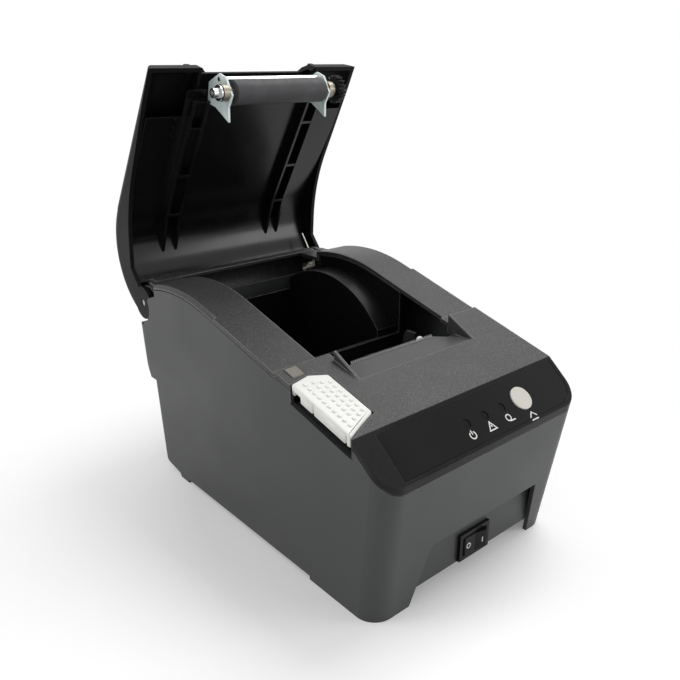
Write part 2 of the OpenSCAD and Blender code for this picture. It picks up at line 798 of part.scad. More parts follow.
module switch_bezel() {
    w = 22;
    h = 15;
    color([0.02, 0.02, 0.02]) difference() {
        union() {
            block(switch_x - w / 2, switch_x + w / 2, alcove_y - 1.8, alcove_y - 0.05,
                switch_z - h / 2, switch_z + h / 2);
            block(switch_x - 9.6, switch_x + 9.6, alcove_y - 0.1, alcove_y + 15,
                switch_z - 6.4, switch_z + 6.4);
        }
        block(switch_x - 8.9, switch_x + 8.9, alcove_y - 6, alcove_y + 11, switch_z - 5.3, switch_z + 5.3);
        translate([switch_x, alcove_y + 2, switch_z - 6]) cylinder(r = 1.2 + fit, h = 12);
    }
}

// Rocker tilted with its left half pressed in; it turns about an upright pin
module switch_rocker() {
    tilt = rocker_deg / 2;
    color([0.03, 0.03, 0.03]) translate([switch_x, alcove_y + 2, switch_z]) rotate([0, 0, -tilt]) {
        translate([0, 0, -5]) linear_extrude(10) intersection() {
            circle(r = 8.6);
            polygon([[-9, -5.4], [0, -4.3], [9, -5.4], [9, 2.5], [-9, 2.5]]);
        }
        translate([0, 0, -5.9]) cylinder(r = 1.2, h = 11.8);
    }
}

module rear_plate() {
    color([0.5, 0.5, 0.52]) difference() {
        block(-47, 25, back_y - wall - 2.3, back_y - wall - 0.3, 15.3, 39);
        block(-40.3, -23.7, back_y - 8, back_y, 10, 30.3);
        block(-13.3, -0.7, back_y - 8, back_y, 10, 27.3);
        block(6.7, 16.3, back_y - 8, back_y, 10, 27.3);
    }
}

module drawer_port() {
    color([0.04, 0.04, 0.045]) difference() {
        block(-40, -24, back_y - 19, back_y - 1, board_z + 1.6, 30);
        block(-38, -26, back_y - 12, back_y, 17, 27);
    }
}

module data_port() {
    color([0.7, 0.7, 0.72]) difference() {
        block(-13, -1, back_y - 18, back_y - 1, board_z + 1.6, 27);
        block(-11.2, -2.8, back_y - 11, back_y, 17, 25);
    }
    color([0.9, 0.9, 0.9]) block(-9.6, -4.4, back_y - 11.2, back_y - 4, 19, 23);
}

module power_jack() {
    color([0.04, 0.04, 0.045]) difference() {
        block(7, 16, back_y - 16, back_y - 1, board_z + 1.6, 27);
        translate([11.5, back_y, 21]) rotate([90, 0, 0]) cylinder(r = 3.2, h = 10);
    }
    color([0.8, 0.8, 0.8]) translate([11.5, back_y - 3, 21]) rotate([90, 0, 0]) cylinder(r = 1, h = 7.5);
}

module hinge_pins() {
    color([0.75, 0.75, 0.77]) both_sides() rod_x(hinge_y, hinge_z, 2, arm_x - 3.4, lid_w / 2 - 0.4);
}

// Turns what is drawn in the closed position to the open rest position
module lid_pose() {
    translate([0, hinge_y, hinge_z]) rotate([-open_deg, 0, 0])
        translate([0, -hinge_y, -hinge_z]) children();
}

// Side view of the lid's outer surface, closed, set in by t
module lid_side_2d(t) {
    r = lid_back_r - t;
    ty = lid_center_y - r * sin(lid_slope);
    tz = lid_center_z + r * cos(lid_slope);
    fz = tz - (ty - lid_front_y - t) * tan(lid_slope);
    floor_z = 80;
    polygon([[lid_front_y + t, floor_z], [lid_front_y + t, fz - 2.5], [lid_front_y + t + 2.5, fz + 0.9],
        [ty, tz], [lid_center_y, lid_center_z], [lid_center_y, floor_z]]);
    intersection() {
        translate([lid_center_y, lid_center_z]) circle(r = r);
        translate([lid_center_y - 40, floor_z]) square([120, 120]);
    }
}

// What rounds the long edges of the lid, set in by t
module lid_edges(t) {
    r = lid_edge_r - t;
    half = lid_w / 2 - t;
    ring = lid_back_r - t;
    ty = lid_center_y - ring * sin(lid_slope);
    tz = lid_center_z + ring * cos(lid_slope);
    both_sides() {
        translate([half, ty, tz]) rotate([lid_slope, 0, 0]) difference() {
            translate([-r, -140, -r]) cube([r + 3, 140 + round_over, r + 6]);
            translate([-r, -141, -r]) rotate([-90, 0, 0]) cylinder(r = r + 5 * round_over, h = 142);
        }
        intersection() {
            translate([0, lid_center_y, lid_center_z]) rotate([0, 90, 0]) rotate_extrude(angle = 360)
                difference() {
                    translate([ring - r, half - r]) square([r + 8, r + 8]);
                    translate([ring - r, half - r]) circle(r = r + round_over);
                }
            along_x(0, 90) polygon([[ty, tz + 30], [ty, tz], [lid_center_y, lid_center_z],
                [lid_center_y + 60, lid_center_z - 20], [lid_center_y + 60, tz + 30]]);
        }
    }
}

module lid_solid(t) {
    half = lid_w / 2 - t;
    difference() {
        along_x(-half, half) lid_side_2d(t);
        lid_edges(t);
    }
}

// What lies under the closed lid's rim, in side view
module below_rim_2d() {
    end_y = 80;
    difference() {
        union() {
            polygon([[-40, 60], [-40, strip_z(-40) + rim_gap + front_step * 0.6],
                [open_front + 4, strip_z(open_front + 4) + rim_gap + front_step * 0.6],
                [crown_front_y, crown_front_z + rim_gap], [crown_front_y, 60]]);
            intersection() {
                translate([crown_y, crown_z]) circle(r = crown_r + rim_gap);
                translate([crown_front_y - eps, 60]) square([end_y - crown_front_y + eps, 100]);
            }
            polygon([[end_y - eps, 60], [end_y - eps, strip_z(end_y) + rim_gap], [93, 122.4],
                [hinge_y - 7, hinge_z + 5.5], [hinge_y, hinge_z], [hinge_y + 6, hinge_z - 2],
                [hinge_y + 20, hinge_z + 20 * tan(24)], [160, hinge_z + 20 * tan(24)], [160, 60]]);
        }
        translate([hinge_y, hinge_z]) circle(r = lobe_r - 1);
    }
}

module lid_shell() {
    color([0.04, 0.04, 0.045]) lid_pose() difference() {
        union() {
            difference() {
                lid_solid(0);
                lid_solid(lid_t);
                along_x(-90, 90) below_rim_2d();
            }
            both_sides() {
                rod_x(hinge_y, hinge_z, lobe_r, lid_inner_x - 0.1, lid_w / 2);
                along_x(lid_fin_x - 1.5, lid_fin_x + 1.5) polygon([[lid_front_y + 0.6, 112], [lid_front_y + 0.6, 117.6],
                    [lid_front_y + 30, 126.4], [lid_front_y + 30, 124], [lid_front_y + 3, 112]]);
                along_x(lid_fin_x - 3.6, lid_fin_x - 2) polygon([[lid_front_y + 1, 107], [lid_front_y + 1, 114],
                    [lid_front_y + 11, 118.3], [lid_front_y + 11, 109.7]]);
            }
        }
        translate([0, 0, 60]) linear_extrude(80) polygon([[-lid_fin_x + 2.8, lid_front_y - 1],
            [-lid_fin_x + 8.4, lid_front_y + 4.8], [lid_fin_x - 8.4, lid_front_y + 4.8], [lid_fin_x - 2.8, lid_front_y - 1]]);
        both_sides() rod_x(hinge_y, hinge_z, 2 + fit, arm_x - 4, lid_w / 2 + 4);
    }
}

// Inner panel of the lid with two ladders of paper guide ribs
module lid_liner() {
    rail_k = 0.317;
    rail_y0 = -6.6;
    rail_z0 = 104.6;
    rail_y1 = 67.6;
    strip_clear_y = 3.2;
    lift = 5.4;
    skin = 1.6;
    turn_r = 30.4;
    turn_y = rail_y1 + turn_r * sin(17.6);
    turn_z = rail_z0 + lift + (rail_y1 - rail_y0) * rail_k - turn_r * cos(17.6);
    color([0.03, 0.03, 0.035]) lid_pose() {
        difference() {
            along_x(-lid_inner_x + gap, lid_inner_x - gap) polygon([
                [rail_y0 - 5, rail_z0 + lift - 5 * rail_k], [rail_y0 - 5, rail_z0 + lift + skin - 5 * rail_k],
                [rail_y1 + eps, rail_z0 + lift + skin + (rail_y1 - rail_y0) * rail_k],
                [rail_y1 + eps, rail_z0 + lift + (rail_y1 - rail_y0) * rail_k]]);
            both_sides() block(open_w / 2 - 0.7, lid_w, rail_y0 - 6, strip_clear_y, 100, 125);
        }
        along_x(-lid_inner_x + gap, lid_inner_x - gap) {
            difference() {
                translate([turn_y, turn_z]) circle(r = turn_r + skin);
                translate([turn_y, turn_z]) circle(r = turn_r);
                polygon([[turn_y, turn_z], [turn_y - 60 * sin(17.6), turn_z + 60 * cos(17.6)],
                    [turn_y - 90, turn_z], [turn_y - 60, turn_z - 60], [turn_y + 90, turn_z - 60],
                    [turn_y + 60, turn_z + 60 * tan(31)]]);
            }
        }
        both_sides() for (x = [33, 41.4]) along_x(x, x + 1.6) polygon([[rail_y0, rail_z0],
            [rail_y0, rail_z0 + lift + 0.5], [rail_y1, rail_z0 + lift + 0.5 + (rail_y1 - rail_y0) * rail_k],
            [turn_y + 2, turn_z + turn_r + 0.5], [turn_y + 15.5, turn_z + 26.9],
            [rail_y1, rail_z0 + (rail_y1 - rail_y0) * rail_k]]);
        both_sides() for (y = [rail_y0, 9, 39, rail_y1 - 1.6]) along_x(33.5, 42) polygon([
            [y, rail_z0 + (y - rail_y0) * rail_k + 0.2], [y, rail_z0 + lift + 0.5 + (y - rail_y0) * rail_k],
            [y + 1.6, rail_z0 + lift + 0.5 + (y + 1.6 - rail_y0) * rail_k],
            [y + 1.6, rail_z0 + (y + 1.6 - rail_y0) * rail_k + 0.2]]);
    }
}

module lid_spring() {
    leg_deg = 40.7;
    color([0.8, 0.78, 0.7]) lid_pose() {
        difference() {
            rod_x(hinge_y, hinge_z, 3.4, arm_x - 13.8, arm_x - 5.8);
            rod_x(hinge_y, hinge_z, 2.6, arm_x - 15, arm_x - 5);
        }
        translate([arm_x - 6.45, hinge_y, hinge_z]) rotate([leg_deg, 0, 0])
            translate([0, -3, 0]) cylinder(r = 0.6, h = 24);
    }
}

module platen_frame() {
    t = 1.2;
    x = 31.4;
    color([0.62, 0.68, 0.74]) lid_pose() difference() {
        union() {
            both_sides() along_x(x, x + t) polygon([[-16, 107.9], [-22.5, 99], [-22, 93], [platen_y, 86],
                [-8, 88.5], [-1, 87], [-5, 100], [-5, 107.9]]);
            block(-x - 0.5, x + 0.5, -17.6, -6, 100.2, 100.2 + t);
        }
        rod_x(platen_y, platen_z, shaft_r + 1.2, -60, 60);
        rod_x(rod_y, rod_z, 1.2, -60, 60);
    }
}

module guide_rod() {
    color([0.85, 0.85, 0.87]) lid_pose() rod_x(rod_y, rod_z, 1.2, -33.4, 33.4);
}

module platen_shaft() {
    color([0.8, 0.8, 0.82]) lid_pose() difference() {
        rod_x(platen_y, platen_z, shaft_r, -41, gear_x + gear_w + 0.8);
        rod_x(platen_y, platen_z, shaft_r * 0.5, -42, -39.5);
    }
}

module platen_rubber() {
    color([0.2, 0.2, 0.21]) lid_pose() difference() {
        rod_x(platen_y, platen_z, rubber_r, -rubber_l / 2, rubber_l / 2);
        rod_x(platen_y, platen_z, shaft_r, -40, 40);
    }
}

module shaft_bushes() {
    color([0.7, 0.6, 0.35]) lid_pose() both_sides() difference() {
        union() {
            rod_x(platen_y, platen_z, shaft_r + 1.15, 31.2, 34);
            rod_x(platen_y, platen_z, 4.3, 32.9, 36.2);
        }
        rod_x(platen_y, platen_z, shaft_r + fit, 30, 40);
    }
}

module platen_gear() {
    color([0.04, 0.04, 0.045]) lid_pose() difference() {
        along_x(gear_x, gear_x + gear_w) translate([platen_y, platen_z]) spur_2d(17, 90);
        rod_x(platen_y, platen_z, shaft_r, 30, 50);
    }
}

module shaft_clips() {
    color([0.6, 0.6, 0.62]) lid_pose() for (x = [-37.6, 36.7]) difference() {
        rod_x(platen_y, platen_z, 4, x, x + 0.8);
        rod_x(platen_y, platen_z, shaft_r, x - 1, x + 2);
    }
}

lower_case();
base_plate();
rubber_feet();
base_screws();
top_cover();
control_band();
tear_bar();
edge_cap();
paper_bin();
roll_guard();
paper_sensor();
mech_frame();
print_head();
heat_sink();
head_springs();
stepper_motor();
motor_pinion();
idler_gear();
release_button();
release_spring();
button_tray();
latch_lever();
latch_pin();
feed_button();
feed_switch();
led_pipes();
control_board();
main_board();
switch_bezel();
switch_rocker();
rear_plate();
power_jack();
data_port();
drawer_port();
hinge_pins();
lid_shell();
lid_liner();
lid_spring();
platen_frame();
guide_rod();
platen_shaft();
platen_rubber();
shaft_bushes();
platen_gear();
shaft_clips();
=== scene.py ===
"""Clamshell receipt printer: finishes, small fittings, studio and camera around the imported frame."""

import logging
import math
from dataclasses import dataclass
from enum import Enum
from typing import Sequence

import bmesh
import bpy
from mathutils import Matrix, Vector


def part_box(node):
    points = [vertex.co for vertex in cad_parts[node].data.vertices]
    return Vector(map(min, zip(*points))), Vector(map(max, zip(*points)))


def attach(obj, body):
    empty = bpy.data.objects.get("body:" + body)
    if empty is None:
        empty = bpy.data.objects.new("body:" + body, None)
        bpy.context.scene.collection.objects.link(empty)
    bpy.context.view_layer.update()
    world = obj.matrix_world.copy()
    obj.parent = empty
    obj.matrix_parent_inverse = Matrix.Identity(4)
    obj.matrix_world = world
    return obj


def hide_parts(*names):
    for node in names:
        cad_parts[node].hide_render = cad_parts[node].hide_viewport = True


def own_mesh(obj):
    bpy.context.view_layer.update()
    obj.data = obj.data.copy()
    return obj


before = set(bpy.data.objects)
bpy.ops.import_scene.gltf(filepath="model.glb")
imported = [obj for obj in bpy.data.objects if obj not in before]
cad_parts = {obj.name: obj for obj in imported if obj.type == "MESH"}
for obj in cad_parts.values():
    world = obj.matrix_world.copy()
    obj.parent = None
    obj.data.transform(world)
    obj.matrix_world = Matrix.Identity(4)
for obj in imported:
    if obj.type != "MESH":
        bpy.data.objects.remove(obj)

LOG = logging.getLogger("printer")
MM = 0.001
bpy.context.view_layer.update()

Colour = tuple[float, float, float]
Point = tuple[float, float, float]


# ---------------------------------------------------------------- shader helpers


class Pen:
    """Draws one material's node tree, with short names for what every finish needs."""

    def __init__(self, name: str) -> None:
        """Starts a material of that name with an empty tree.

        Args:
            name: The material's name.
        """
        self.material = bpy.data.materials.new(name)
        self.material.use_nodes = True
        self.tree = self.material.node_tree
        self.tree.nodes.clear()
        self.out = self.add("ShaderNodeOutputMaterial")
        self.coords = self.add("ShaderNodeTexCoord").outputs["Object"]

    def add(self, kind: str, **settings: object) -> bpy.types.Node:
        """Adds a node.

        Args:
            kind: The node's type name.
            **settings: Attributes to set on the node.

        Returns:
            The new node.
        """
        node = self.tree.nodes.new(kind)
        for key, value in settings.items():
            setattr(node, key, value)
        return node

    def link(self, source: bpy.types.NodeSocket, target: bpy.types.NodeSocket) -> None:
        """Joins an output to an input."""
        self.tree.links.new(source, target)

    def shader(self, base: "Surface") -> bpy.types.Node:
        """Adds the surface shader with the values that are the same all over.

        Args:
            base: The constant values.

        Returns:
            The shader node, joined to the output.
        """
        node = self.add("ShaderNodeBsdfPrincipled")
        node.inputs["Base Color"].default_value = (*base.colour, 1.0)
        node.inputs["Roughness"].default_value = base.roughness
        node.inputs["Metallic"].default_value = base.metallic
        node.inputs["Specular IOR Level"].default_value = base.specular
        node.inputs["Coat Weight"].default_value = base.coat
        node.inputs["Coat Roughness"].default_value = base.coat_roughness
        self.link(node.outputs["BSDF"], self.out.inputs["Surface"])
        return node

    def noise(self, scale: float, detail: float = 3.0, stretch: Point = (1, 1, 1)) -> bpy.types.NodeSocket:
        """Adds noise on the object's own coordinates.

        Args:
            scale: Features per metre.
            detail: Octaves.
            stretch: Scale along each axis, for brushed or drawn surfaces.

        Returns:
            The noise value, about 0 to 1.
        """
        place = self.add("ShaderNodeMapping")
        place.inputs["Scale"].default_value = stretch
        self.link(self.coords, place.inputs["Vector"])
        node = self.add("ShaderNodeTexNoise")
        node.inputs["Scale"].default_value = scale
        node.inputs["Detail"].default_value = detail
        self.link(place.outputs["Vector"], node.inputs["Vector"])
        return node.outputs["Fac"]

    def along(
            self, axis: str, low: float, high: float, to_low: float, to_high: float) -> bpy.types.NodeSocket:
        """Gives a value that goes from one number to another along an axis of the object."""
        parts = self.add("ShaderNodeSeparateXYZ")
        self.link(self.coords, parts.inputs[0])
        return self.span(parts.outputs[axis], low, high, to_low, to_high)

    def constant(self, number: float) -> bpy.types.NodeSocket:
        """A plain number as a socket."""
        node = self.add("ShaderNodeValue")
        node.outputs[0].default_value = number
        return node.outputs[0]

    def times(self, first: bpy.types.NodeSocket, second: bpy.types.NodeSocket) -> bpy.types.NodeSocket:
        """Multiplies two values."""
        node = self.add("ShaderNodeMath", operation="MULTIPLY")
        self.link(first, node.inputs[0])
        self.link(second, node.inputs[1])
        return node.outputs[0]

    def cells(self, scale: float) -> bpy.types.NodeSocket:
        """Adds a cell pattern and gives the distance to the nearest cell point."""
        node = self.add("ShaderNodeTexVoronoi")
        node.inputs["Scale"].default_value = scale
        self.link(self.coords, node.inputs["Vector"])
        return node.outputs["Distance"]

    def span(self, value: bpy.types.NodeSocket, low: float, high: float,
             to_low: float, to_high: float) -> bpy.types.NodeSocket:
        """Maps a value from one range to another, held at its ends."""
        node = self.add("ShaderNodeMapRange")
        self.link(value, node.inputs["Value"])
        for name, number in (("From Min", low), ("From Max", high), ("To Min", to_low), ("To Max", to_high)):
            node.inputs[name].default_value = number
        return node.outputs["Result"]

    def blend(self, share: bpy.types.NodeSocket, first: object, second: object) -> bpy.types.NodeSocket:
        """Mixes two colours, each a colour or a socket, by a share from 0 to 1."""
        node = self.add("ShaderNodeMix", data_type="RGBA")
        self.link(share, node.inputs[0])
        for socket, value in ((node.inputs[6], first), (node.inputs[7], second)):
            if isinstance(value, bpy.types.NodeSocket):
                self.link(value, socket)
            else:
                socket.default_value = (*value, 1.0)
        return node.outputs[2]

    def relief(self, height: bpy.types.NodeSocket, depth: float,
               under: bpy.types.NodeSocket | None = None) -> bpy.types.NodeSocket:
        """Turns a height into a normal.

        Args:
            height: The height, about 0 to 1.
            depth: How deep that is, in metres.
            under: The normal it lies on, if not the mesh's own.

        Returns:
            The new normal.
        """
        node = self.add("ShaderNodeBump")
        node.inputs["Strength"].default_value = 1.0
        node.inputs["Distance"].default_value = depth
        self.link(height, node.inputs["Height"])
        if under is not None:
            self.link(under, node.inputs["Normal"])
        return node.outputs["Normal"]

    def soft_edges(self, radius: float) -> bpy.types.NodeSocket:
        """Gives a normal that rounds every edge by radius."""
        node = self.add("ShaderNodeBevel", samples=4)
        node.inputs["Radius"].default_value = radius
        return node.outputs["Normal"]

    def edge_share(self, rounded: bpy.types.NodeSocket) -> bpy.types.NodeSocket:
        """Gives 0 on flat stretches and up to 1 on rounded edges, from where the two normals part."""
        flat = self.add("ShaderNodeNewGeometry").outputs["Normal"]
        dot = self.add("ShaderNodeVectorMath", operation="DOT_PRODUCT")
        self.link(flat, dot.inputs[0])
        self.link(rounded, dot.inputs[1])
        return self.span(dot.outputs["Value"], 0.985, 0.85, 0.0, 1.0)


@dataclass(frozen=True)
class Surface:
    """Shader values that are the same all over a finish."""

    colour: Colour
    roughness: float = 0.5
    metallic: float = 0.0
    specular: float = 0.5
    coat: float = 0.0
    coat_roughness: float = 0.1


def shade(colour: Colour, factor: float) -> Colour:
    """A colour made lighter or darker by a factor."""
    return tuple(min(1.0, channel * factor) for channel in colour)


# ---------------------------------------------------------------- finishes


@dataclass(frozen=True)
class MouldedPlastic:
    """Injection-moulded plastic: fine spark-eroded grain, faint flow marks and rounded edges painted lighter as a
    highlight.
    """

    name: str
    colour: Colour
    roughness: float = 0.45
    specular: float = 0.5
    grain: float = 1500.0
    grain_depth: float = 0.00004
    fleck: float = 0.12
    edge_radius: float = 0.0004
    edge_highlight_gain: float = 1.35
    coat: float = 0.0

    def build(self) -> bpy.types.Material:
        """Builds the material.

        Returns:
            The plastic.
        """
        pen = Pen(self.name)
        body = pen.shader(Surface(self.colour, self.roughness, 0.0, self.specular, self.coat))
        grain = pen.noise(self.grain, 4.0)
        flow = pen.noise(28.0, 2.0)
        speck = pen.span(grain, 0.35, 0.65, 0.0, 1.0)
        tone = pen.blend(speck, shade(self.colour, 1 - self.fleck), shade(self.colour, 1 + self.fleck))
        drift = pen.blend(
            pen.span(flow, 0.3, 0.7, 0.0, 1.0), shade(self.colour, 0.94), shade(self.colour, 1.05))
        mixed = pen.add("ShaderNodeMix", data_type="RGBA")
        mixed.inputs[0].default_value = 0.35
        pen.link(tone, mixed.inputs[6])
        pen.link(drift, mixed.inputs[7])
        rounded = pen.soft_edges(self.edge_radius)
        # Rounded edges take a lighter shade of the colour: a painted highlight.
        edge_highlight_painted = pen.blend(pen.edge_share(rounded), mixed.outputs[2], shade(self.colour, self.edge_highlight_gain))
        pen.link(edge_highlight_painted, body.inputs["Base Color"])
        rough = pen.span(flow, 0.3, 0.7, self.roughness - 0.04, self.roughness + 0.05)
        pen.link(rough, body.inputs["Roughness"])
        pen.link(pen.relief(grain, self.grain_depth, rounded), body.inputs["Normal"])
        return pen.material


@dataclass(frozen=True)
class CoverPlastic:
    """The cover's moulding: coarse grain sprinkled with painted glints above, polished black on the control band whose
    left end is painted lighter, and rounded edges painted lighter as a highlight.
    """

    name: str
    colour: Colour = (0.034, 0.033, 0.033)
    glint: Colour = (0.20, 0.19, 0.19)
    polished: Colour = (0.0075, 0.0075, 0.008)
    roughness: float = 0.36
    specular: float = 0.26
    polished_specular: float = 0.10
    edge_radius: float = 0.0009
    edge_highlight_gain: float = 8.0
    grain: float = 1300.0
    grain_depth: float = 0.00021
    crease_y: float = -0.0745
    patch_x: float = -0.052

    def build(self) -> bpy.types.Material:
        """Builds the material.

        Returns:
            The plastic.
        """
        pen = Pen(self.name)
        body = pen.shader(Surface(self.colour, self.roughness, 0.0, self.specular))
        grain = pen.noise(self.grain, 5.0)
        flow = pen.noise(30.0, 2.0)
        dull = pen.blend(
            pen.span(grain, 0.3, 0.6, 0.0, 1.0), shade(self.colour, 0.62), shade(self.colour, 1.25))
        # Pale specks of the glint colour scattered through the grain: painted glints.
        lit = pen.blend(pen.span(pen.noise(2300.0, 2.0), 0.56, 0.70, 0.0, 0.7), dull, self.glint)
        band = pen.along("Y", self.crease_y - 0.0002, self.crease_y + 0.0002, 1.0, 0.0)
        # Left of patch_x the band keeps twelve percent of the upper colour and its roughness: the colour part is
        # painted light on the band's left end.
        left_end_light_and_grain = pen.along("X", self.patch_x - 0.008, self.patch_x + 0.008, 0.88, 1.0)
        smooth = pen.times(band, left_end_light_and_grain)
        rounded = pen.soft_edges(self.edge_radius)
        # Rounded edges take a much lighter shade of the colour: a painted highlight.
        edge_highlight_painted = pen.blend(pen.edge_share(rounded), lit, shade(self.colour, self.edge_highlight_gain))
        pen.link(pen.blend(smooth, edge_highlight_painted, self.polished), body.inputs["Base Color"])
        rough = pen.span(flow, 0.3, 0.7, self.roughness - 0.03, self.roughness + 0.05)
        level = pen.add("ShaderNodeMix")
        pen.link(smooth, level.inputs[0])
        pen.link(rough, level.inputs[2])
        level.inputs[3].default_value = 0.3
        pen.link(level.outputs[0], body.inputs["Roughness"])
        shine = pen.span(smooth, 0.0, 1.0, self.specular, self.polished_specular)
        pen.link(shine, body.inputs["Specular IOR Level"])
        depth = pen.times(grain, pen.along("Y", self.crease_y - 0.0002, self.crease_y + 0.0002, 0.08, 1.0))
        pen.link(pen.relief(depth, self.grain_depth, rounded), body.inputs["Normal"])
        return pen.material


@dataclass(frozen=True)
class SheetMetal:
    """Rolled, plated or ground metal with drawn lines and small tone changes."""

    name: str
    colour: Colour
    roughness: float = 0.28
    stretch: Point = (1.0, 0.06, 1.0)
    lines: float = 2600.0
    tint: Colour = (1.0, 1.0, 1.0)
    depth: float = 0.000008
    metallic: float = 1.0

    def build(self) -> bpy.types.Material:
        """Builds the material.

        Returns:
            The metal.
        """
        pen = Pen(self.name)
        body = pen.shader(Surface(self.colour, self.roughness, self.metallic))
        drawn = pen.noise(self.lines, 3.0, self.stretch)
        patch = pen.noise(160.0, 2.0)
        other = tuple(a * b for a, b in zip(self.colour, self.tint))
        tone = pen.blend(pen.span(patch, 0.35, 0.65, 0.0, 1.0), shade(self.colour, 0.92), other)
        pen.link(tone, body.inputs["Base Color"])
        rough = pen.span(drawn, 0.3, 0.7, self.roughness * 0.75, self.roughness * 1.3)
        pen.link(rough, body.inputs["Roughness"])
        pen.link(pen.relief(drawn, self.depth, pen.soft_edges(0.00015)), body.inputs["Normal"])
        return pen.material


@dataclass(frozen=True)
class GroundRubber:
    """Ground roller or moulded foot rubber: matt, with fine turning marks."""

    name: str
    colour: Colour
    roughness: float = 0.62
    stretch: Point = (1.0, 0.15, 0.15)

    def build(self) -> bpy.types.Material:
        """Builds the material.

        Returns:
            The rubber.
        """
        pen = Pen(self.name)
        body = pen.shader(Surface(self.colour, self.roughness, 0.0, 0.4))
        marks = pen.noise(2200.0, 3.0, self.stretch)
        dust = pen.noise(90.0, 4.0)
        tone = pen.blend(pen.span(dust, 0.4, 0.75, 0.0, 1.0), self.colour, shade(self.colour, 1.3))
        pen.link(tone, body.inputs["Base Color"])
        pen.link(pen.span(marks, 0.3, 0.7, self.roughness - 0.08, self.roughness + 0.08),
                 body.inputs["Roughness"])
        pen.link(pen.relief(marks, 0.00002, pen.soft_edges(0.0003)), body.inputs["Normal"])
        return pen.material


@dataclass(frozen=True)
class CircuitBoard:
    """Solder mask over copper: green with paler tracks and tinned pads."""

    name: str
    mask: Colour = (0.01, 0.10, 0.045)
    copper: Colour = (0.03, 0.20, 0.08)

    def build(self) -> bpy.types.Material:
        """Builds the material.

        Returns:
            The board.
        """
        pen = Pen(self.name)
        body = pen.shader(Surface(self.mask, 0.3, 0.0, 0.5, 0.4, 0.15))
        brick = pen.add("ShaderNodeTexBrick", offset=0.5)
        brick.inputs["Scale"].default_value = 260.0
        brick.inputs["Mortar Size"].default_value = 0.06
        brick.inputs["Color1"].default_value = (*self.mask, 1.0)
        brick.inputs["Color2"].default_value = (*shade(self.mask, 1.2), 1.0)
        brick.inputs["Mortar"].default_value = (*self.copper, 1.0)
        pen.link(pen.coords, brick.inputs["Vector"])
        pads = pen.span(pen.cells(300.0), 0.16, 0.2, 1.0, 0.0)
        pen.link(pen.blend(pads, brick.outputs["Color"], (0.45, 0.44, 0.40)), body.inputs["Base Color"])
        pen.link(pen.relief(brick.outputs["Fac"], 0.00004), body.inputs["Normal"])
        return pen.material


@dataclass(frozen=True)
class PrintedMark:
    """Screen-printed ink, slightly uneven in cover."""

    name: str
    colour: Colour

    def build(self) -> bpy.types.Material:
        """Builds the material.

        Returns:
            The ink.
        """
        pen = Pen(self.name)
        body = pen.shader(Surface(self.colour, 0.5, 0.0, 0.3))
        cover = pen.noise(3500.0, 2.0)
        tone = pen.blend(pen.span(cover, 0.35, 0.6, 0.0, 1.0), shade(self.colour, 0.86), self.colour)
        pen.link(tone, body.inputs["Base Color"])
        pen.link(pen.relief(cover, 0.00001), body.inputs["Normal"])
        return pen.material


@dataclass(frozen=True)
class GlazedCeramic:
    """The print head's substrate: ceramic under a thin glaze, its tone varying in soft clouds."""

    name: str
    colour: Colour

    def build(self) -> bpy.types.Material:
        """Builds the material.

        Returns:
            The ceramic.
        """
        pen = Pen(self.name)
        body = pen.shader(Surface(self.colour, 0.18, 0.0, 0.5, 0.5, 0.06))
        cloud = pen.noise(220.0, 3.0)
        pen.link(pen.blend(cloud, shade(self.colour, 0.8), shade(self.colour, 1.15)),
                 body.inputs["Base Color"])
        pen.link(pen.relief(pen.noise(1800.0, 2.0), 0.00001), body.inputs["Normal"])
        return pen.material


@dataclass(frozen=True)
class StudioGround:
    """Pale seamless floor: it keeps the object's soft shadow and fades to white around it."""

    name: str
    colour: Colour = (0.94, 0.94, 0.94)
    lift: float = 0.16
    inner: float = 0.09
    outer: float = 0.27

    def build(self) -> bpy.types.Material:
        """Builds the material.

        Returns:
            The floor's paper.
        """
        pen = Pen(self.name)
        paper = pen.shader(Surface(self.colour, 0.9, 0.0, 0.1))
        pen.link(pen.relief(pen.noise(90.0, 3.0), 0.00002), paper.inputs["Normal"])
        rays = pen.add("ShaderNodeLightPath")
        seen = pen.add("ShaderNodeMath", operation="MAXIMUM")
        pen.link(rays.outputs["Is Camera Ray"], seen.inputs[0])
        pen.link(rays.outputs["Is Glossy Ray"], seen.inputs[1])
        clear = pen.add("ShaderNodeMath", operation="MAXIMUM")
        pen.link(seen.outputs[0], clear.inputs[0])
        pen.link(rays.outputs["Is Transmission Ray"], clear.inputs[1])
        glow = pen.add("ShaderNodeEmission")
        pen.link(pen.times(clear.outputs[0], pen.constant(self.lift)), glow.inputs["Strength"])
        lifted = pen.add("ShaderNodeAddShader")
        pen.link(paper.outputs["BSDF"], lifted.inputs[0])
        pen.link(glow.outputs["Emission"], lifted.inputs[1])
        white = pen.add("ShaderNodeEmission")
        white.inputs["Strength"].default_value = 1.0
        reach = pen.add("ShaderNodeVectorMath", operation="LENGTH")
        pen.link(pen.coords, reach.inputs[0])
        far = pen.span(reach.outputs["Value"], self.inner, self.outer, 0.0, 1.0)
        mixed = pen.add("ShaderNodeMixShader")
        pen.link(pen.times(far, clear.outputs[0]), mixed.inputs[0])
        pen.link(lifted.outputs[0], mixed.inputs[1])
        pen.link(white.outputs["Emission"], mixed.inputs[2])
        pen.link(mixed.outputs[0], pen.out.inputs["Surface"])
        return pen.material


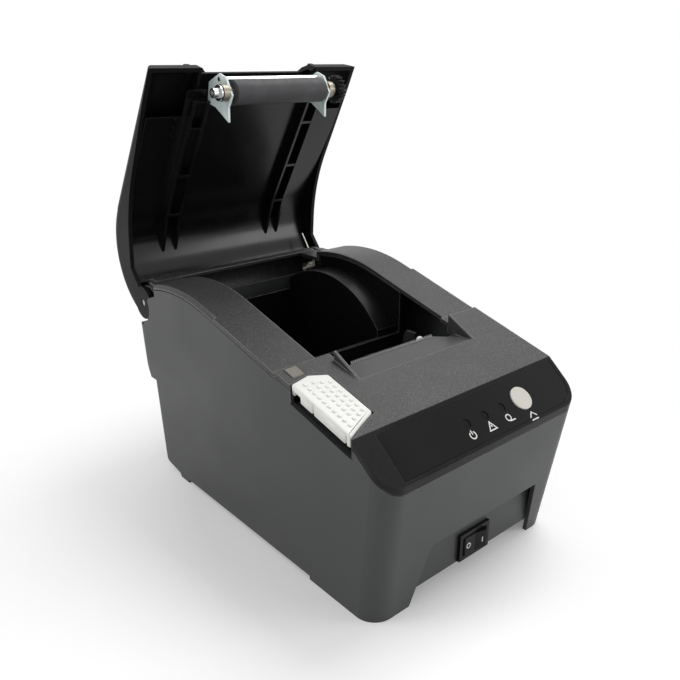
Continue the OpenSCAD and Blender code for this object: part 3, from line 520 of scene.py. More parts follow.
class Finishes:
    """Every finish of the printer, built once, by name."""

    def __init__(self) -> None:
        """Builds the materials."""
        black = (0.0065, 0.0065, 0.0072)
        recipes = {
            # The edge factors in these recipes paint a highlight on each finish's rounded edges, strongest on the bin,
            # the cover and the tear bar.
            "case": MouldedPlastic("case_plastic", (0.040, 0.0415, 0.043), 0.42, 0.42, 2600.0, 0.00003, 0.08,
                                   edge_highlight_gain=1.5),
            "cover": CoverPlastic("cover_plastic"),
            "band": MouldedPlastic("band_plastic", (0.0075, 0.0075, 0.008), 0.3, 0.10, 3000.0, 0.000008, 0.05,
                                   edge_radius=0.0001, edge_highlight_gain=1.0),
            "tear": MouldedPlastic("tear_plastic", (0.050, 0.050, 0.051), 0.36, 0.35, 2800.0, 0.00001, 0.04,
                                   edge_highlight_gain=4.0),
            "cap": MouldedPlastic("cap_plastic", (0.19, 0.18, 0.155), 0.5, 0.3, 1800.0, 0.00003, 0.1),
            "bin": MouldedPlastic("bin_plastic", black, 0.3, 0.10, 3000.0, 0.000008, 0.05,
                                  edge_radius=0.0008, edge_highlight_gain=22.0),
            "lid": MouldedPlastic("lid_plastic", (0.005, 0.005, 0.0056), 0.5, 0.12, 2600.0, 0.00001, 0.06,
                                  edge_radius=0.0003, edge_highlight_gain=2.2),
            "liner": MouldedPlastic("liner_plastic", (0.005, 0.005, 0.0056), 0.22, 0.35, 2600.0, 0.000006, 0.06,
                                    edge_radius=0.0003, edge_highlight_gain=2.6),
            "mech": MouldedPlastic("mech_plastic", (0.016, 0.016, 0.017), 0.5, 0.4, 2000.0, 0.00002, 0.08),
            "base": MouldedPlastic("base_plastic", (0.05, 0.05, 0.052), 0.55, 0.4, 1500.0, 0.00004, 0.12),
            "white": MouldedPlastic("white_plastic", (0.86, 0.86, 0.83), 0.4, 0.45, 2400.0, 0.00001, 0.02,
                                    edge_highlight_gain=1.06),
            "feed": MouldedPlastic("feed_plastic", (0.60, 0.585, 0.53), 0.42, 0.4, 1500.0, 0.00003, 0.05,
                                   edge_radius=0.0009, edge_highlight_gain=1.4),
            "nylon": MouldedPlastic("white_nylon", (0.78, 0.78, 0.74), 0.42, 0.4, 1800.0, 0.00002, 0.03,
                                    edge_radius=0.0002, edge_highlight_gain=1.05),
            "gear": MouldedPlastic("gear_nylon", (0.006, 0.006, 0.0065), 0.42, 0.15, 1800.0, 0.00002, 0.06,
                                   edge_radius=0.0002),
            "switch": MouldedPlastic("switch_plastic", (0.006, 0.006, 0.0065), 0.28, 0.15, 2600.0, 0.00001, 0.04,
                                     edge_highlight_gain=3.0),
            "sensor": MouldedPlastic("sensor_plastic", (0.006, 0.006, 0.007), 0.2, 0.5, 2600.0, 0.00001, 0.04),
            "port": MouldedPlastic("port_plastic", (0.012, 0.012, 0.012), 0.45, 0.4, 2000.0, 0.00002, 0.06),
            # Pale grey for the tooth tips: a painted highlight.
            "tooth": MouldedPlastic("tooth_tip_highlight", (0.62, 0.62, 0.62), 0.4, 0.4, 2800.0, 0.00001, 0.04),
            "smoke": MouldedPlastic("smoke_plastic", (0.006, 0.006, 0.007), 0.25, 0.10, 2000.0, 0.00001, 0.04,
                                    edge_highlight_gain=2.5),
            "zinc": SheetMetal("zinc_sheet", (0.74, 0.84, 0.85), 0.34, (1.0, 1.0, 1.0), 700.0, (1.06, 1.04, 1.0),
                               0.00001, 0.08),
            "pin": SheetMetal("pin_steel", (0.60, 0.60, 0.61), 0.24, (0.08, 1.0, 1.0)),
            "spring": SheetMetal("spring_steel", (0.62, 0.62, 0.63), 0.22, (1.0, 1.0, 1.0)),
            "wire": SheetMetal("spring_wire", (0.66, 0.63, 0.56), 0.3, (1.0, 1.0, 1.0)),
            "screw": SheetMetal("screw_steel", (0.42, 0.42, 0.44), 0.32, (1.0, 1.0, 1.0)),
            "chrome": SheetMetal("chrome_rod", (0.80, 0.80, 0.82), 0.1, (0.1, 1.0, 1.0), depth=0.000002),
            "sink": SheetMetal("head_aluminium", (0.68, 0.69, 0.71), 0.32, (0.06, 1.0, 1.0)),
            "motor": SheetMetal("motor_steel", (0.50, 0.52, 0.55), 0.34, (0.2, 1.0, 1.0)),
            "plate": SheetMetal("port_steel", (0.55, 0.56, 0.58), 0.34, (0.08, 1.0, 1.0)),
            "brass": SheetMetal("brass", (0.70, 0.52, 0.22), 0.25, (0.1, 1.0, 1.0)),
            "bush": SheetMetal("bush_bronze", (0.30, 0.27, 0.22), 0.4, (1.0, 1.0, 1.0), metallic=0.8),
            "roller": GroundRubber("platen_rubber", (0.045, 0.045, 0.048)),
            "foot": GroundRubber("foot_rubber", (0.03, 0.03, 0.03), 0.75),
            "board": CircuitBoard("board_green"),
            "ink": PrintedMark("pale_ink", (0.80, 0.80, 0.78)),
            "head": GlazedCeramic("head_ceramic", (0.34, 0.29, 0.22)),
            "ground": StudioGround("studio_floor"),
        }
        self._made = {key: recipe.build() for key, recipe in recipes.items()}

    def __getitem__(self, key: str) -> bpy.types.Material:
        """The material of that name."""
        return self._made[key]


NODE_FINISH: dict[str, str] = {
    "lower_case": "case", "base_plate": "base", "rubber_feet": "foot", "base_screws": "screw",
    "top_cover": "cover", "control_band": "band", "tear_bar": "tear", "edge_cap": "cap",
    "paper_bin": "bin", "roll_guard": "bin", "paper_sensor": "sensor", "mech_frame": "mech",
    "print_head": "head", "heat_sink": "sink", "head_springs": "spring", "stepper_motor": "motor",
    "motor_pinion": "brass", "idler_gear": "nylon", "release_button": "white",
    "release_spring": "spring", "button_tray": "mech", "latch_lever": "zinc", "latch_pin": "pin",
    "feed_button": "feed", "feed_switch": "sensor", "led_pipes": "smoke", "control_board": "board",
    "main_board": "board", "switch_bezel": "switch", "switch_rocker": "switch", "rear_plate": "plate",
    "power_jack": "port", "data_port": "plate", "drawer_port": "port", "hinge_pins": "screw",
    "lid_shell": "lid", "lid_liner": "liner", "lid_spring": "wire", "platen_frame": "zinc",
    "guide_rod": "chrome", "platen_shaft": "pin", "platen_rubber": "roller", "shaft_bushes": "bush",
    "platen_gear": "gear", "shaft_clips": "spring",
}


class CadDress:
    """Gives every carried-over node of the frame its finish."""

    def __init__(self, finishes: Finishes) -> None:
        """Keeps the finishes."""
        self.finishes = finishes

    def build(self) -> None:
        """Replaces each node's material by its procedural finish."""
        for name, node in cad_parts.items():
            material = self.finishes[NODE_FINISH[name]]
            node.data.materials.clear()
            node.data.materials.append(material)
            for face in node.data.polygons:
                face.material_index = 0
        LOG.info("dressed %d nodes", len(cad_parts))


# ---------------------------------------------------------------- mesh helpers


def finish_piece(
        obj: bpy.types.Object, body: str, replaced: Sequence[str] = ()) -> bpy.types.Object:
    """Attaches a finished piece to its body and hides the nodes it stands for.

    Args:
        obj: The piece, its place in its mesh.
        body: The body it rides on.
        replaced: The nodes it stands for.

    Returns:
        The piece.
    """
    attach(obj, body)
    if replaced:
        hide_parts(*replaced)
    LOG.info("%s rides on %s", obj.name, body)
    return obj


def mesh_piece(name: str, bm: bmesh.types.BMesh, material: bpy.types.Material,
               smooth: bool = True) -> bpy.types.Object:
    """Turns a bmesh into an object of the scene.

    Args:
        name: The piece's name.
        bm: The mesh, freed here.
        material: Its finish.
        smooth: Whether its faces are shaded smooth.

    Returns:
        The new object.
    """
    mesh = bpy.data.meshes.new(name)
    bm.normal_update()
    bm.to_mesh(mesh)
    bm.free()
    mesh.materials.append(material)
    for face in mesh.polygons:
        face.use_smooth = smooth
    obj = bpy.data.objects.new(name, mesh)
    bpy.context.scene.collection.objects.link(obj)
    return obj


class SocketKind(Enum):
    """The kinds of input that a geometry tree here takes."""

    GEOMETRY = "NodeSocketGeometry"
    LENGTH = "NodeSocketFloat"
    COUNT = "NodeSocketInt"
    VECTOR = "NodeSocketVector"


class GeometryTree:
    """A geometry node tree built in the script and made a plain mesh."""

    def __init__(self, name: str, inputs: dict[str, SocketKind]) -> None:
        """Starts the tree with its named inputs.

        Args:
            name: The tree's name.
            inputs: Each input's name and kind.
        """
        self.name = name
        self.tree = bpy.data.node_groups.new(name, "GeometryNodeTree")
        face = self.tree.interface
        face.new_socket(name="Geometry", in_out="OUTPUT", socket_type=SocketKind.GEOMETRY.value)
        face.new_socket(name="Geometry", in_out="INPUT", socket_type=SocketKind.GEOMETRY.value)
        self.keys = {
            key: face.new_socket(name=key, in_out="INPUT", socket_type=kind.value).identifier
            for key, kind in inputs.items()
        }
        self.source = self.add("NodeGroupInput")
        self.target = self.add("NodeGroupOutput")

    def add(self, kind: str, **settings: object) -> bpy.types.Node:
        """Adds a node with attributes set from settings and returns it."""
        node = self.tree.nodes.new(kind)
        for key, value in settings.items():
            setattr(node, key, value)
        return node

    def wire(self, source: object, target: bpy.types.NodeSocket) -> None:
        """Joins a socket, an input's name or a plain value to an input socket."""
        if isinstance(source, str):
            self.tree.links.new(self.source.outputs[source], target)
        elif isinstance(source, bpy.types.NodeSocket):
            self.tree.links.new(source, target)
        else:
            target.default_value = source

    def put(self, kind: str, settings: dict[str, object] | None = None, **sockets: object) -> bpy.types.Node:
        """Adds a node and fills its inputs.

        Args:
            kind: The node's type name.
            settings: Attributes of the node.
            **sockets: Inputs by name, with spaces as underscores.

        Returns:
            The node.
        """
        node = self.add(kind, **(settings or {}))
        for key, value in sockets.items():
            self.wire(value, node.inputs[key.replace("_", " ")])
        return node

    def math(self, operation: str, first: object, second: object = 0.0) -> bpy.types.NodeSocket:
        """Adds a sum, product or other operation on two numbers."""
        node = self.add("ShaderNodeMath", operation=operation)
        self.wire(first, node.inputs[0])
        self.wire(second, node.inputs[1])
        return node.outputs[0]

    def vector(self, x: object, y: object, z: object) -> bpy.types.NodeSocket:
        """Joins three numbers to a vector."""
        node = self.add("ShaderNodeCombineXYZ")
        for value, socket in zip((x, y, z), node.inputs):
            self.wire(value, socket)
        return node.outputs[0]

    def close(self, geometry: bpy.types.NodeSocket, material: bpy.types.Material) -> None:
        """Ends the tree in real geometry with its material."""
        real = self.add("GeometryNodeRealizeInstances")
        dressed = self.add("GeometryNodeSetMaterial")
        dressed.inputs["Material"].default_value = material
        self.tree.links.new(geometry, real.inputs[0])
        self.tree.links.new(real.outputs[0], dressed.inputs[0])
        self.tree.links.new(dressed.outputs[0], self.target.inputs[0])

    def bake(self, name: str, values: dict[str, object], place: Matrix | None = None,
             smooth: bool = True) -> bpy.types.Object:
        """Runs the tree on an empty mesh and keeps the result as a plain mesh.

        Args:
            name: The piece's name.
            values: The named inputs' values.
            place: Where the result goes, written into its mesh.
            smooth: Whether its faces are shaded smooth.

        Returns:
            The piece, at the origin and with no modifier.
        """
        blank = bpy.data.objects.new(name + "_seed", bpy.data.meshes.new(name + "_seed"))
        bpy.context.scene.collection.objects.link(blank)
        modifier = blank.modifiers.new(self.name, "NODES")
        modifier.node_group = self.tree
        for key, value in values.items():
            modifier[self.keys[key]] = value
        bpy.context.view_layer.update()
        graph = bpy.context.evaluated_depsgraph_get()
        mesh = bpy.data.meshes.new_from_object(blank.evaluated_get(graph), depsgraph=graph)
        bpy.data.objects.remove(blank)
        mesh.name = name
        if place is not None:
            mesh.transform(place)
        for face in mesh.polygons:
            face.use_smooth = smooth
        obj = bpy.data.objects.new(name, mesh)
        bpy.context.scene.collection.objects.link(obj)
        return obj


# ---------------------------------------------------------------- the printer's own frames


@dataclass(frozen=True)
class CaseLines:
    """The lines of the case that the small pieces sit on, in metres."""

    slope: float = math.radians(15.1)
    crown_y: float = 0.063
    crown_z: float = 0.015
    crown_r: float = 0.110
    front_step: float = 0.0012
    lip_y: float = -0.0952073
    lip_z: float = 0.076
    band: float = math.radians(39.4391)
    hinge_y: float = 0.108
    hinge_z: float = 0.1065
    opened: float = math.radians(-76.0)

    def top_z(self, y: float) -> float:
        """Height of the front part of the cover at y."""
        foot_y = self.crown_y - self.crown_r * math.sin(self.slope)
        foot_z = self.crown_z + self.crown_r * math.cos(self.slope)
        return foot_z + (y - foot_y) * math.tan(self.slope) + self.front_step

    def on_band(self, x: float, s: float, n: float = 0.0) -> Matrix:
        """Place on the control band: x across, s up its slope and n out of it."""
        return (Matrix.Translation((0.0, self.lip_y, self.lip_z)) @ Matrix.Rotation(self.band, 4, "X")
                @ Matrix.Translation((x, s, n)))

    def on_top(self, x: float, y: float, lift: float) -> Matrix:
        """Place on the sloped top of the cover, lift above it."""
        return Matrix.Translation((x, y, self.top_z(y) + lift)) @ Matrix.Rotation(self.slope, 4, "X")

    def opened_lid(self) -> Matrix:
        """Turn that takes what is placed for the closed lid to the open rest."""
        hinge = Matrix.Translation((0.0, self.hinge_y, self.hinge_z))
        return hinge @ Matrix.Rotation(self.opened, 4, "X") @ hinge.inverted()


LINES = CaseLines()


# ---------------------------------------------------------------- release button


@dataclass
class ReleaseButtonDress:
    """The release button's cap: rolled edges, a stepped skirt with two grooves, and raised grip bumps."""

    finishes: Finishes
    lift: float = 0.0008
    skirt: float = 0.0055
    shallow: float = 0.0026
    step_y: float = -0.0413
    wall: float = 0.0013
    lean: float = 0.0437
    foot_x: float = 0.0650
    corner: float = 0.0012
    corners: tuple[tuple[float, float], ...] = (
        (-0.0695, -0.0349), (-0.0695, -0.0739), (-0.0592, -0.0693), (-0.0490, -0.0652), (-0.0492, -0.0363),
        (-0.0586, -0.0326),
    )
    grooves: tuple[float, ...] = (-0.0496, -0.0708)
    groove_width: float = 0.0008
    groove_depth: float = 0.0009
    bump_radius: float = 0.00115
    bump_height: float = 0.0006
    columns: tuple[tuple[float, float, float, int], ...] = (
        (-0.0643, -0.0383, 0.00332, 10), (-0.0597, -0.0387, 0.00338, 9),
        (-0.0560, -0.0401, 0.00349, 8), (-0.0525, -0.0414, 0.00359, 7),
    )

    def build(self) -> None:
        """Builds the cap with its bumps in place of the plain button."""
        cap = self.build_cap()
        bumps = self.build_bumps()
        finish_piece(join_pieces("release_button_cap", [cap, *bumps]), "release",
                     ["release_button"])

    def outline(self) -> list[tuple[Vector, Vector, float]]:
        """The cap's plan: each point with its inward direction and its groove depth."""
        spots: list[tuple[Vector, float]] = []
        count = len(self.corners)
        for index, corner in enumerate(self.corners):
            here = Vector(corner)
            before = (Vector(self.corners[index - 1]) - here).normalized()
            after = (Vector(self.corners[(index + 1) % count]) - here).normalized()
            half = before.angle(after) / 2
            reach = self.corner / math.tan(half)
            centre = here + (before + after).normalized() * (self.corner / math.sin(half))
            first, last = here + before * reach - centre, here + after * reach - centre
            for step in range(4):
                spots.append((centre + first.slerp(last, step / 3, first).normalized() * self.corner, 0.0))
            if index == 0:
                x = corner[0]
                spots += [(Vector((x, self.step_y + 0.00005)), 0.0),
                          (Vector((x, self.step_y - 0.00005)), 0.0)]
                for y in self.grooves:
                    for side, depth in ((1, 0.0), (0.5, 1.0), (-0.5, 1.0), (-1, 0.0)):
                        spots.append((Vector((x, y + side * self.groove_width)), depth * self.groove_depth))
        result = []
        for index, (spot, depth) in enumerate(spots):
            ahead = spots[(index + 1) % len(spots)][0] - spots[index - 1][0]
            result.append((spot, Vector((-ahead.y, ahead.x)).normalized(), depth))
        return result

    def build_cap(self) -> bpy.types.Object:
        """Builds the hollow cap from rings that follow its plan."""
        plan = self.outline()
        bm = bmesh.new()
        rings = []
        levels = ((0.0013, 0.0, 0), (0.0006, 0.00012, 0), (0.0002, 0.00045, 0), (0.0, 0.0010, 1), (0.0, 1.0, 1),
                  (self.wall, 1.0, 0), (self.wall, 0.0019, 0))
        for inset, drop, grooved in levels:
            ring = []
            for spot, inward, depth in plan:
                place = spot + inward * (inset + depth * grooved)
                full = self.shallow if spot.y > self.step_y and spot.x < -0.0690 else self.skirt
                sunk = full if drop == 1.0 else min(drop, full - 0.0003)
                height = LINES.top_z(place.y) + self.lift - sunk
                shift = (-0.0695 + self.foot_x + self.lean * height) if spot.x < -0.0690 else 0.0
                ring.append(bm.verts.new((place.x - shift, place.y, height)))
            rings.append(ring)
        count = len(plan)
        for upper, lower in zip(rings, rings[1:]):
            for index in range(count):
                after = (index + 1) % count
                bm.faces.new((upper[index], upper[after], lower[after], lower[index]))
        bm.faces.new(rings[0])
        bm.faces.new(list(reversed(rings[-1])))
        bmesh.ops.recalc_face_normals(bm, faces=bm.faces)
        return mesh_piece("cap_shell", bm, self.finishes["white"])

    def build_bumps(self) -> list[bpy.types.Object]:
        """Builds the bumps in four staggered columns on the sloped face."""
        tree = GeometryTree("grip_bumps", {
            "Rows": SocketKind.COUNT, "Pitch": SocketKind.LENGTH, "Bump radius": SocketKind.LENGTH,
            "Bump height": SocketKind.LENGTH,
        })
        line = tree.put("GeometryNodeMeshLine", Count="Rows",
                        Offset=tree.vector(0.0, tree.math("MULTIPLY", "Pitch", -1.0), 0.0))
        dome = tree.put("GeometryNodeMeshUVSphere", Segments=16, Rings=10, Radius=1.0)
        shaped = tree.put("GeometryNodeTransform", Geometry=dome.outputs["Mesh"],
                          Scale=tree.vector("Bump radius", "Bump radius", "Bump height"))
        rows = tree.put(
            "GeometryNodeInstanceOnPoints", Points=line.outputs["Mesh"], Instance=shaped.outputs[0])
        tree.close(rows.outputs[0], self.finishes["white"])
        slant = math.cos(LINES.slope)
        return [tree.bake(f"bumps_{index}", {
            "Rows": count, "Pitch": pitch / slant, "Bump radius": self.bump_radius, "Bump height": self.bump_height,
        }, LINES.on_top(x, rear, self.lift)) for index, (x, rear, pitch, count) in enumerate(self.columns)]


def join_pieces(name: str, parts: Sequence[bpy.types.Object]) -> bpy.types.Object:
    """Joins meshes that lie at the origin into one piece.

    Args:
        name: The piece's name.
        parts: The objects, removed here.

    Returns:
        The joined piece.
    """
    bm = bmesh.new()
    for part in parts:
        bm.from_mesh(part.data)
    material = parts[0].data.materials[0]
    smooth = parts[0].data.polygons[0].use_smooth
    for part in parts:
        bpy.data.objects.remove(part)
    return mesh_piece(name, bm, material, smooth)


# ---------------------------------------------------------------- springs


@dataclass
class CoilSprings:
    """Wound springs in place of the plain tubes of the frame."""

    finishes: Finishes
    facets: int = 8
    press_travel: float = 0.0032

    def tree(self, name: str, finish: str) -> GeometryTree:
        """A tree that winds a wire: its coil radius, wire radius, height and turns are inputs."""
        tree = GeometryTree(name, {
            "Coil radius": SocketKind.LENGTH, "Wire radius": SocketKind.LENGTH,
            "Height": SocketKind.LENGTH, "Turns": SocketKind.LENGTH,
        })
        path = tree.put("GeometryNodeCurveSpiral", Resolution=22, Rotations="Turns", Start_Radius="Coil radius",
                        End_Radius="Coil radius", Height="Height")
        wire = tree.put("GeometryNodeCurvePrimitiveCircle", Resolution=self.facets, Radius="Wire radius")
        swept = tree.put(
            "GeometryNodeCurveToMesh", Curve=path.outputs[0], Profile_Curve=wire.outputs[0], Fill_Caps=True)
        tree.close(swept.outputs[0], self.finishes[finish])
        return tree

    def build(self) -> None:
        """Winds the release, head and lid springs."""
        bright = self.tree("wound_spring", "spring")
        low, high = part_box("release_spring")
        centre = (low + high) / 2
        coil = (high.x - low.x) / 2 - 0.00035
        release = bright.bake("release_coil", {
            "Coil radius": coil, "Wire radius": 0.00035, "Height": high.z - low.z - 0.0007, "Turns": 5.0,
        }, Matrix.Translation((centre.x, centre.y, low.z + 0.00035)))
        finish_piece(release, "case", ["release_spring"])
        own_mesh(release)
        low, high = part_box("head_springs")
        coil = (high.z - low.z) / 2 - 0.0003
        back = Matrix.Rotation(math.radians(90), 4, "X")
        parts = [bright.bake(f"head_coil_{side}", {
            "Coil radius": coil, "Wire radius": 0.0003, "Height": high.y - low.y - 0.0006, "Turns": 4.0,
        }, Matrix.Translation((x, high.y - 0.0003, (low.z + high.z) / 2)) @ back)
            for side, x in enumerate((low.x + (high.z - low.z) / 2, high.x - (high.z - low.z) / 2))]
        finish_piece(join_pieces("head_coils", parts), "case", ["head_springs"])
        self.build_lid_spring()

    def build_lid_spring(self) -> None:
        """Winds the lid spring about the hinge line, with a straight leg up the lid's side."""
        warm = self.tree("lid_wound_spring", "wire")
        start, end, leg_x = 0.0502, 0.0582, 0.05755
        wire = 0.0005
        coil = warm.bake("lid_coil", {
            "Coil radius": 0.0029, "Wire radius": wire, "Height": end - start - 2 * wire, "Turns": 7.0,
        }, Matrix.Translation((start + wire, LINES.hinge_y, LINES.hinge_z))
            @ Matrix.Rotation(math.radians(90), 4, "Y"))
        leg = tube_along("lid_spring_leg", [
            Vector((leg_x, 0.1056, 0.1084)), Vector((leg_x, 0.1120, 0.1175)), Vector((leg_x, 0.1188, 0.1270)),
        ], 0.0005, self.finishes["wire"])
        finish_piece(join_pieces("lid_spring_wire", [coil, leg]), "lid", ["lid_spring"])


def tube_along(
        name: str, points: Sequence[Vector], radius: float, material: bpy.types.Material) -> bpy.types.Object:
    """A round wire through points.

    Args:
        name: The piece's name.
        points: Where it runs.
        radius: Its radius.
        material: Its finish.

    Returns:
        The wire as a plain mesh.
    """
    curve = bpy.data.curves.new(name, "CURVE")
    curve.dimensions = "3D"
    curve.bevel_depth = radius
    curve.bevel_resolution = 3
    curve.use_fill_caps = True
    spline = curve.splines.new("POLY")
    spline.points.add(len(points) - 1)
    for spot, point in zip(spline.points, points):
        spot.co = (*point, 1.0)
    holder = bpy.data.objects.new(name, curve)
    bpy.context.scene.collection.objects.link(holder)
    graph = bpy.context.evaluated_depsgraph_get()
    mesh = bpy.data.meshes.new_from_object(holder.evaluated_get(graph), depsgraph=graph)
    bpy.data.objects.remove(holder)
    mesh.materials.clear()
    mesh.materials.append(material)
    for face in mesh.polygons:
        face.use_smooth = True
    obj = bpy.data.objects.new(name, mesh)
    bpy.context.scene.collection.objects.link(obj)
    return obj


# ---------------------------------------------------------------- printed marks


Path2D = Sequence[tuple[float, float]]


def arc(radius: float, start: float, end: float, steps: int = 20,
        middle: tuple[float, float] = (0.0, 0.0)) -> list[tuple[float, float]]:
    """Points of an arc, its angles in degrees."""
    turns = [math.radians(start + (end - start) * step / steps) for step in range(steps + 1)]
    return [(middle[0] + radius * math.cos(turn), middle[1] + radius * math.sin(turn)) for turn in turns]


def stroke(bm: bmesh.types.BMesh, path: Path2D, width: float, thick: float, place: Matrix,
           loop: bool = False) -> None:
    """Adds a line of ink as a thin closed solid.

    Args:
        bm: The mesh it goes into.
        path: The points along its middle.
        width: The line's width.
        thick: How far it stands proud.
        place: Where its plane is.
        loop: Whether the line closes on itself.
    """
    points = [Vector(spot) for spot in path]
    count = len(points)
    rows = []
    for index, point in enumerate(points):
        before = points[index - 1] if index or loop else point
        after = points[(index + 1) % count] if index + 1 < count or loop else point
        first, second = (point - before), (after - point)
        along = ((first.normalized() if first.length else second.normalized())
                 + (second.normalized() if second.length else first.normalized())).normalized()
        side = Vector((-along.y, along.x)) * width / 2
        if first.length and second.length:
            side /= max(0.4, along.dot(second.normalized()))
        rows.append([bm.verts.new(place @ Vector((spot.x, spot.y, height)))
                     for height in (0.0, thick) for spot in (point + side, point - side)])
    pairs = list(zip(rows, rows[1:])) + ([(rows[-1], rows[0])] if loop else [])
    for near, far in pairs:
        for a, b in ((0, 1), (1, 3), (3, 2), (2, 0)):
            bm.faces.new((near[a], near[b], far[b], far[a]))
    if not loop:
        bm.faces.new((rows[0][0], rows[0][2], rows[0][3], rows[0][1]))
        bm.faces.new((rows[-1][0], rows[-1][1], rows[-1][3], rows[-1][2]))


@dataclass
class PanelMarks:
    """Generic pictograms on the control band: on/off, warning, paper roll and feed."""

    finishes: Finishes
    size: float = 0.0021
    width: float = 0.00062
    thick: float = 0.00004
    row_s: float = 0.0070
    lamp_xs: tuple[float, ...] = (-0.0095, 0.0037, 0.0170)
    feed_x: float = 0.0318
    feed_s: float = 0.0030

    def build(self) -> None:
        """Builds the marks as one inked piece."""
        bm = bmesh.new()
        size, width, thick = self.size, self.width, self.thick
        power, warning, paper = (LINES.on_band(x, self.row_s, 0.00002) for x in self.lamp_xs)
        stroke(bm, arc(size * 0.85, 125, 415, 24), width, thick, power)
        stroke(bm, [(0.0, 0.1 * size), (0.0, 1.15 * size)], width, thick, power)
        stroke(bm, [(0.0, 1.1 * size), (-1.15 * size, -0.85 * size), (1.15 * size, -0.85 * size)], width, thick,
               warning, True)
        stroke(bm, [(0.0, 0.35 * size), (0.0, -0.2 * size)], width * 0.9, thick * 1.5, warning)
        stroke(bm, arc(size * 0.75, 0, 345, 24, (-0.3 * size, 0.1 * size)), width, thick, paper, True)
        stroke(bm, [(-0.3 * size, -0.8 * size), (1.5 * size, -0.8 * size)], width, thick * 1.5, paper)
        feed = LINES.on_band(self.feed_x, self.feed_s, 0.00002)
        stroke(bm, [(-1.2 * size, -0.3 * size), (0.0, 0.9 * size), (1.2 * size, -0.3 * size)],
               width, thick, feed)
        stroke(bm, [(-1.2 * size, -0.95 * size), (1.2 * size, -0.95 * size)], width, thick, feed)
        bmesh.ops.recalc_face_normals(bm, faces=bm.faces)
        finish_piece(mesh_piece("panel_marks", bm, self.finishes["ink"], False), "case")


@dataclass
class RockerMarks:
    """The on and off signs on the rocker's two halves."""

    finishes: Finishes
    centre: Point = (0.003, -0.082, 0.0155)
    tilt: float = -7.0
    ridge_y: float = -0.0043
    edge_y: float = -0.0054
    half: float = 0.009
    offset: float = 0.0046
    width: float = 0.0005

    def build(self) -> None:
        """Builds both signs as one inked piece."""
        bm = bmesh.new()
        pose = Matrix.Translation(self.centre) @ Matrix.Rotation(math.radians(self.tilt), 4, "Z")
        slope = math.atan2(self.ridge_y - self.edge_y, self.half)
        for side in (-1, 1):
            depth = self.ridge_y + (self.edge_y - self.ridge_y) * self.offset / self.half - 0.00002
            face = (pose @ Matrix.Translation((side * self.offset, depth, 0.0)) @ Matrix.Rotation(-side * slope, 4, "Z")
                    @ Matrix.Rotation(math.radians(90), 4, "X"))
            if side > 0:
                stroke(bm, [(0.0, -0.0014), (0.0, 0.0014)], self.width, 0.00004, face)
            else:
                stroke(bm, arc(0.0013, 0, 345, 24), self.width, 0.00004, face, True)
        bmesh.ops.recalc_face_normals(bm, faces=bm.faces)
        finish_piece(mesh_piece("rocker_marks", bm, self.finishes["ink"], False), "rocker")


# ---------------------------------------------------------------- small fittings


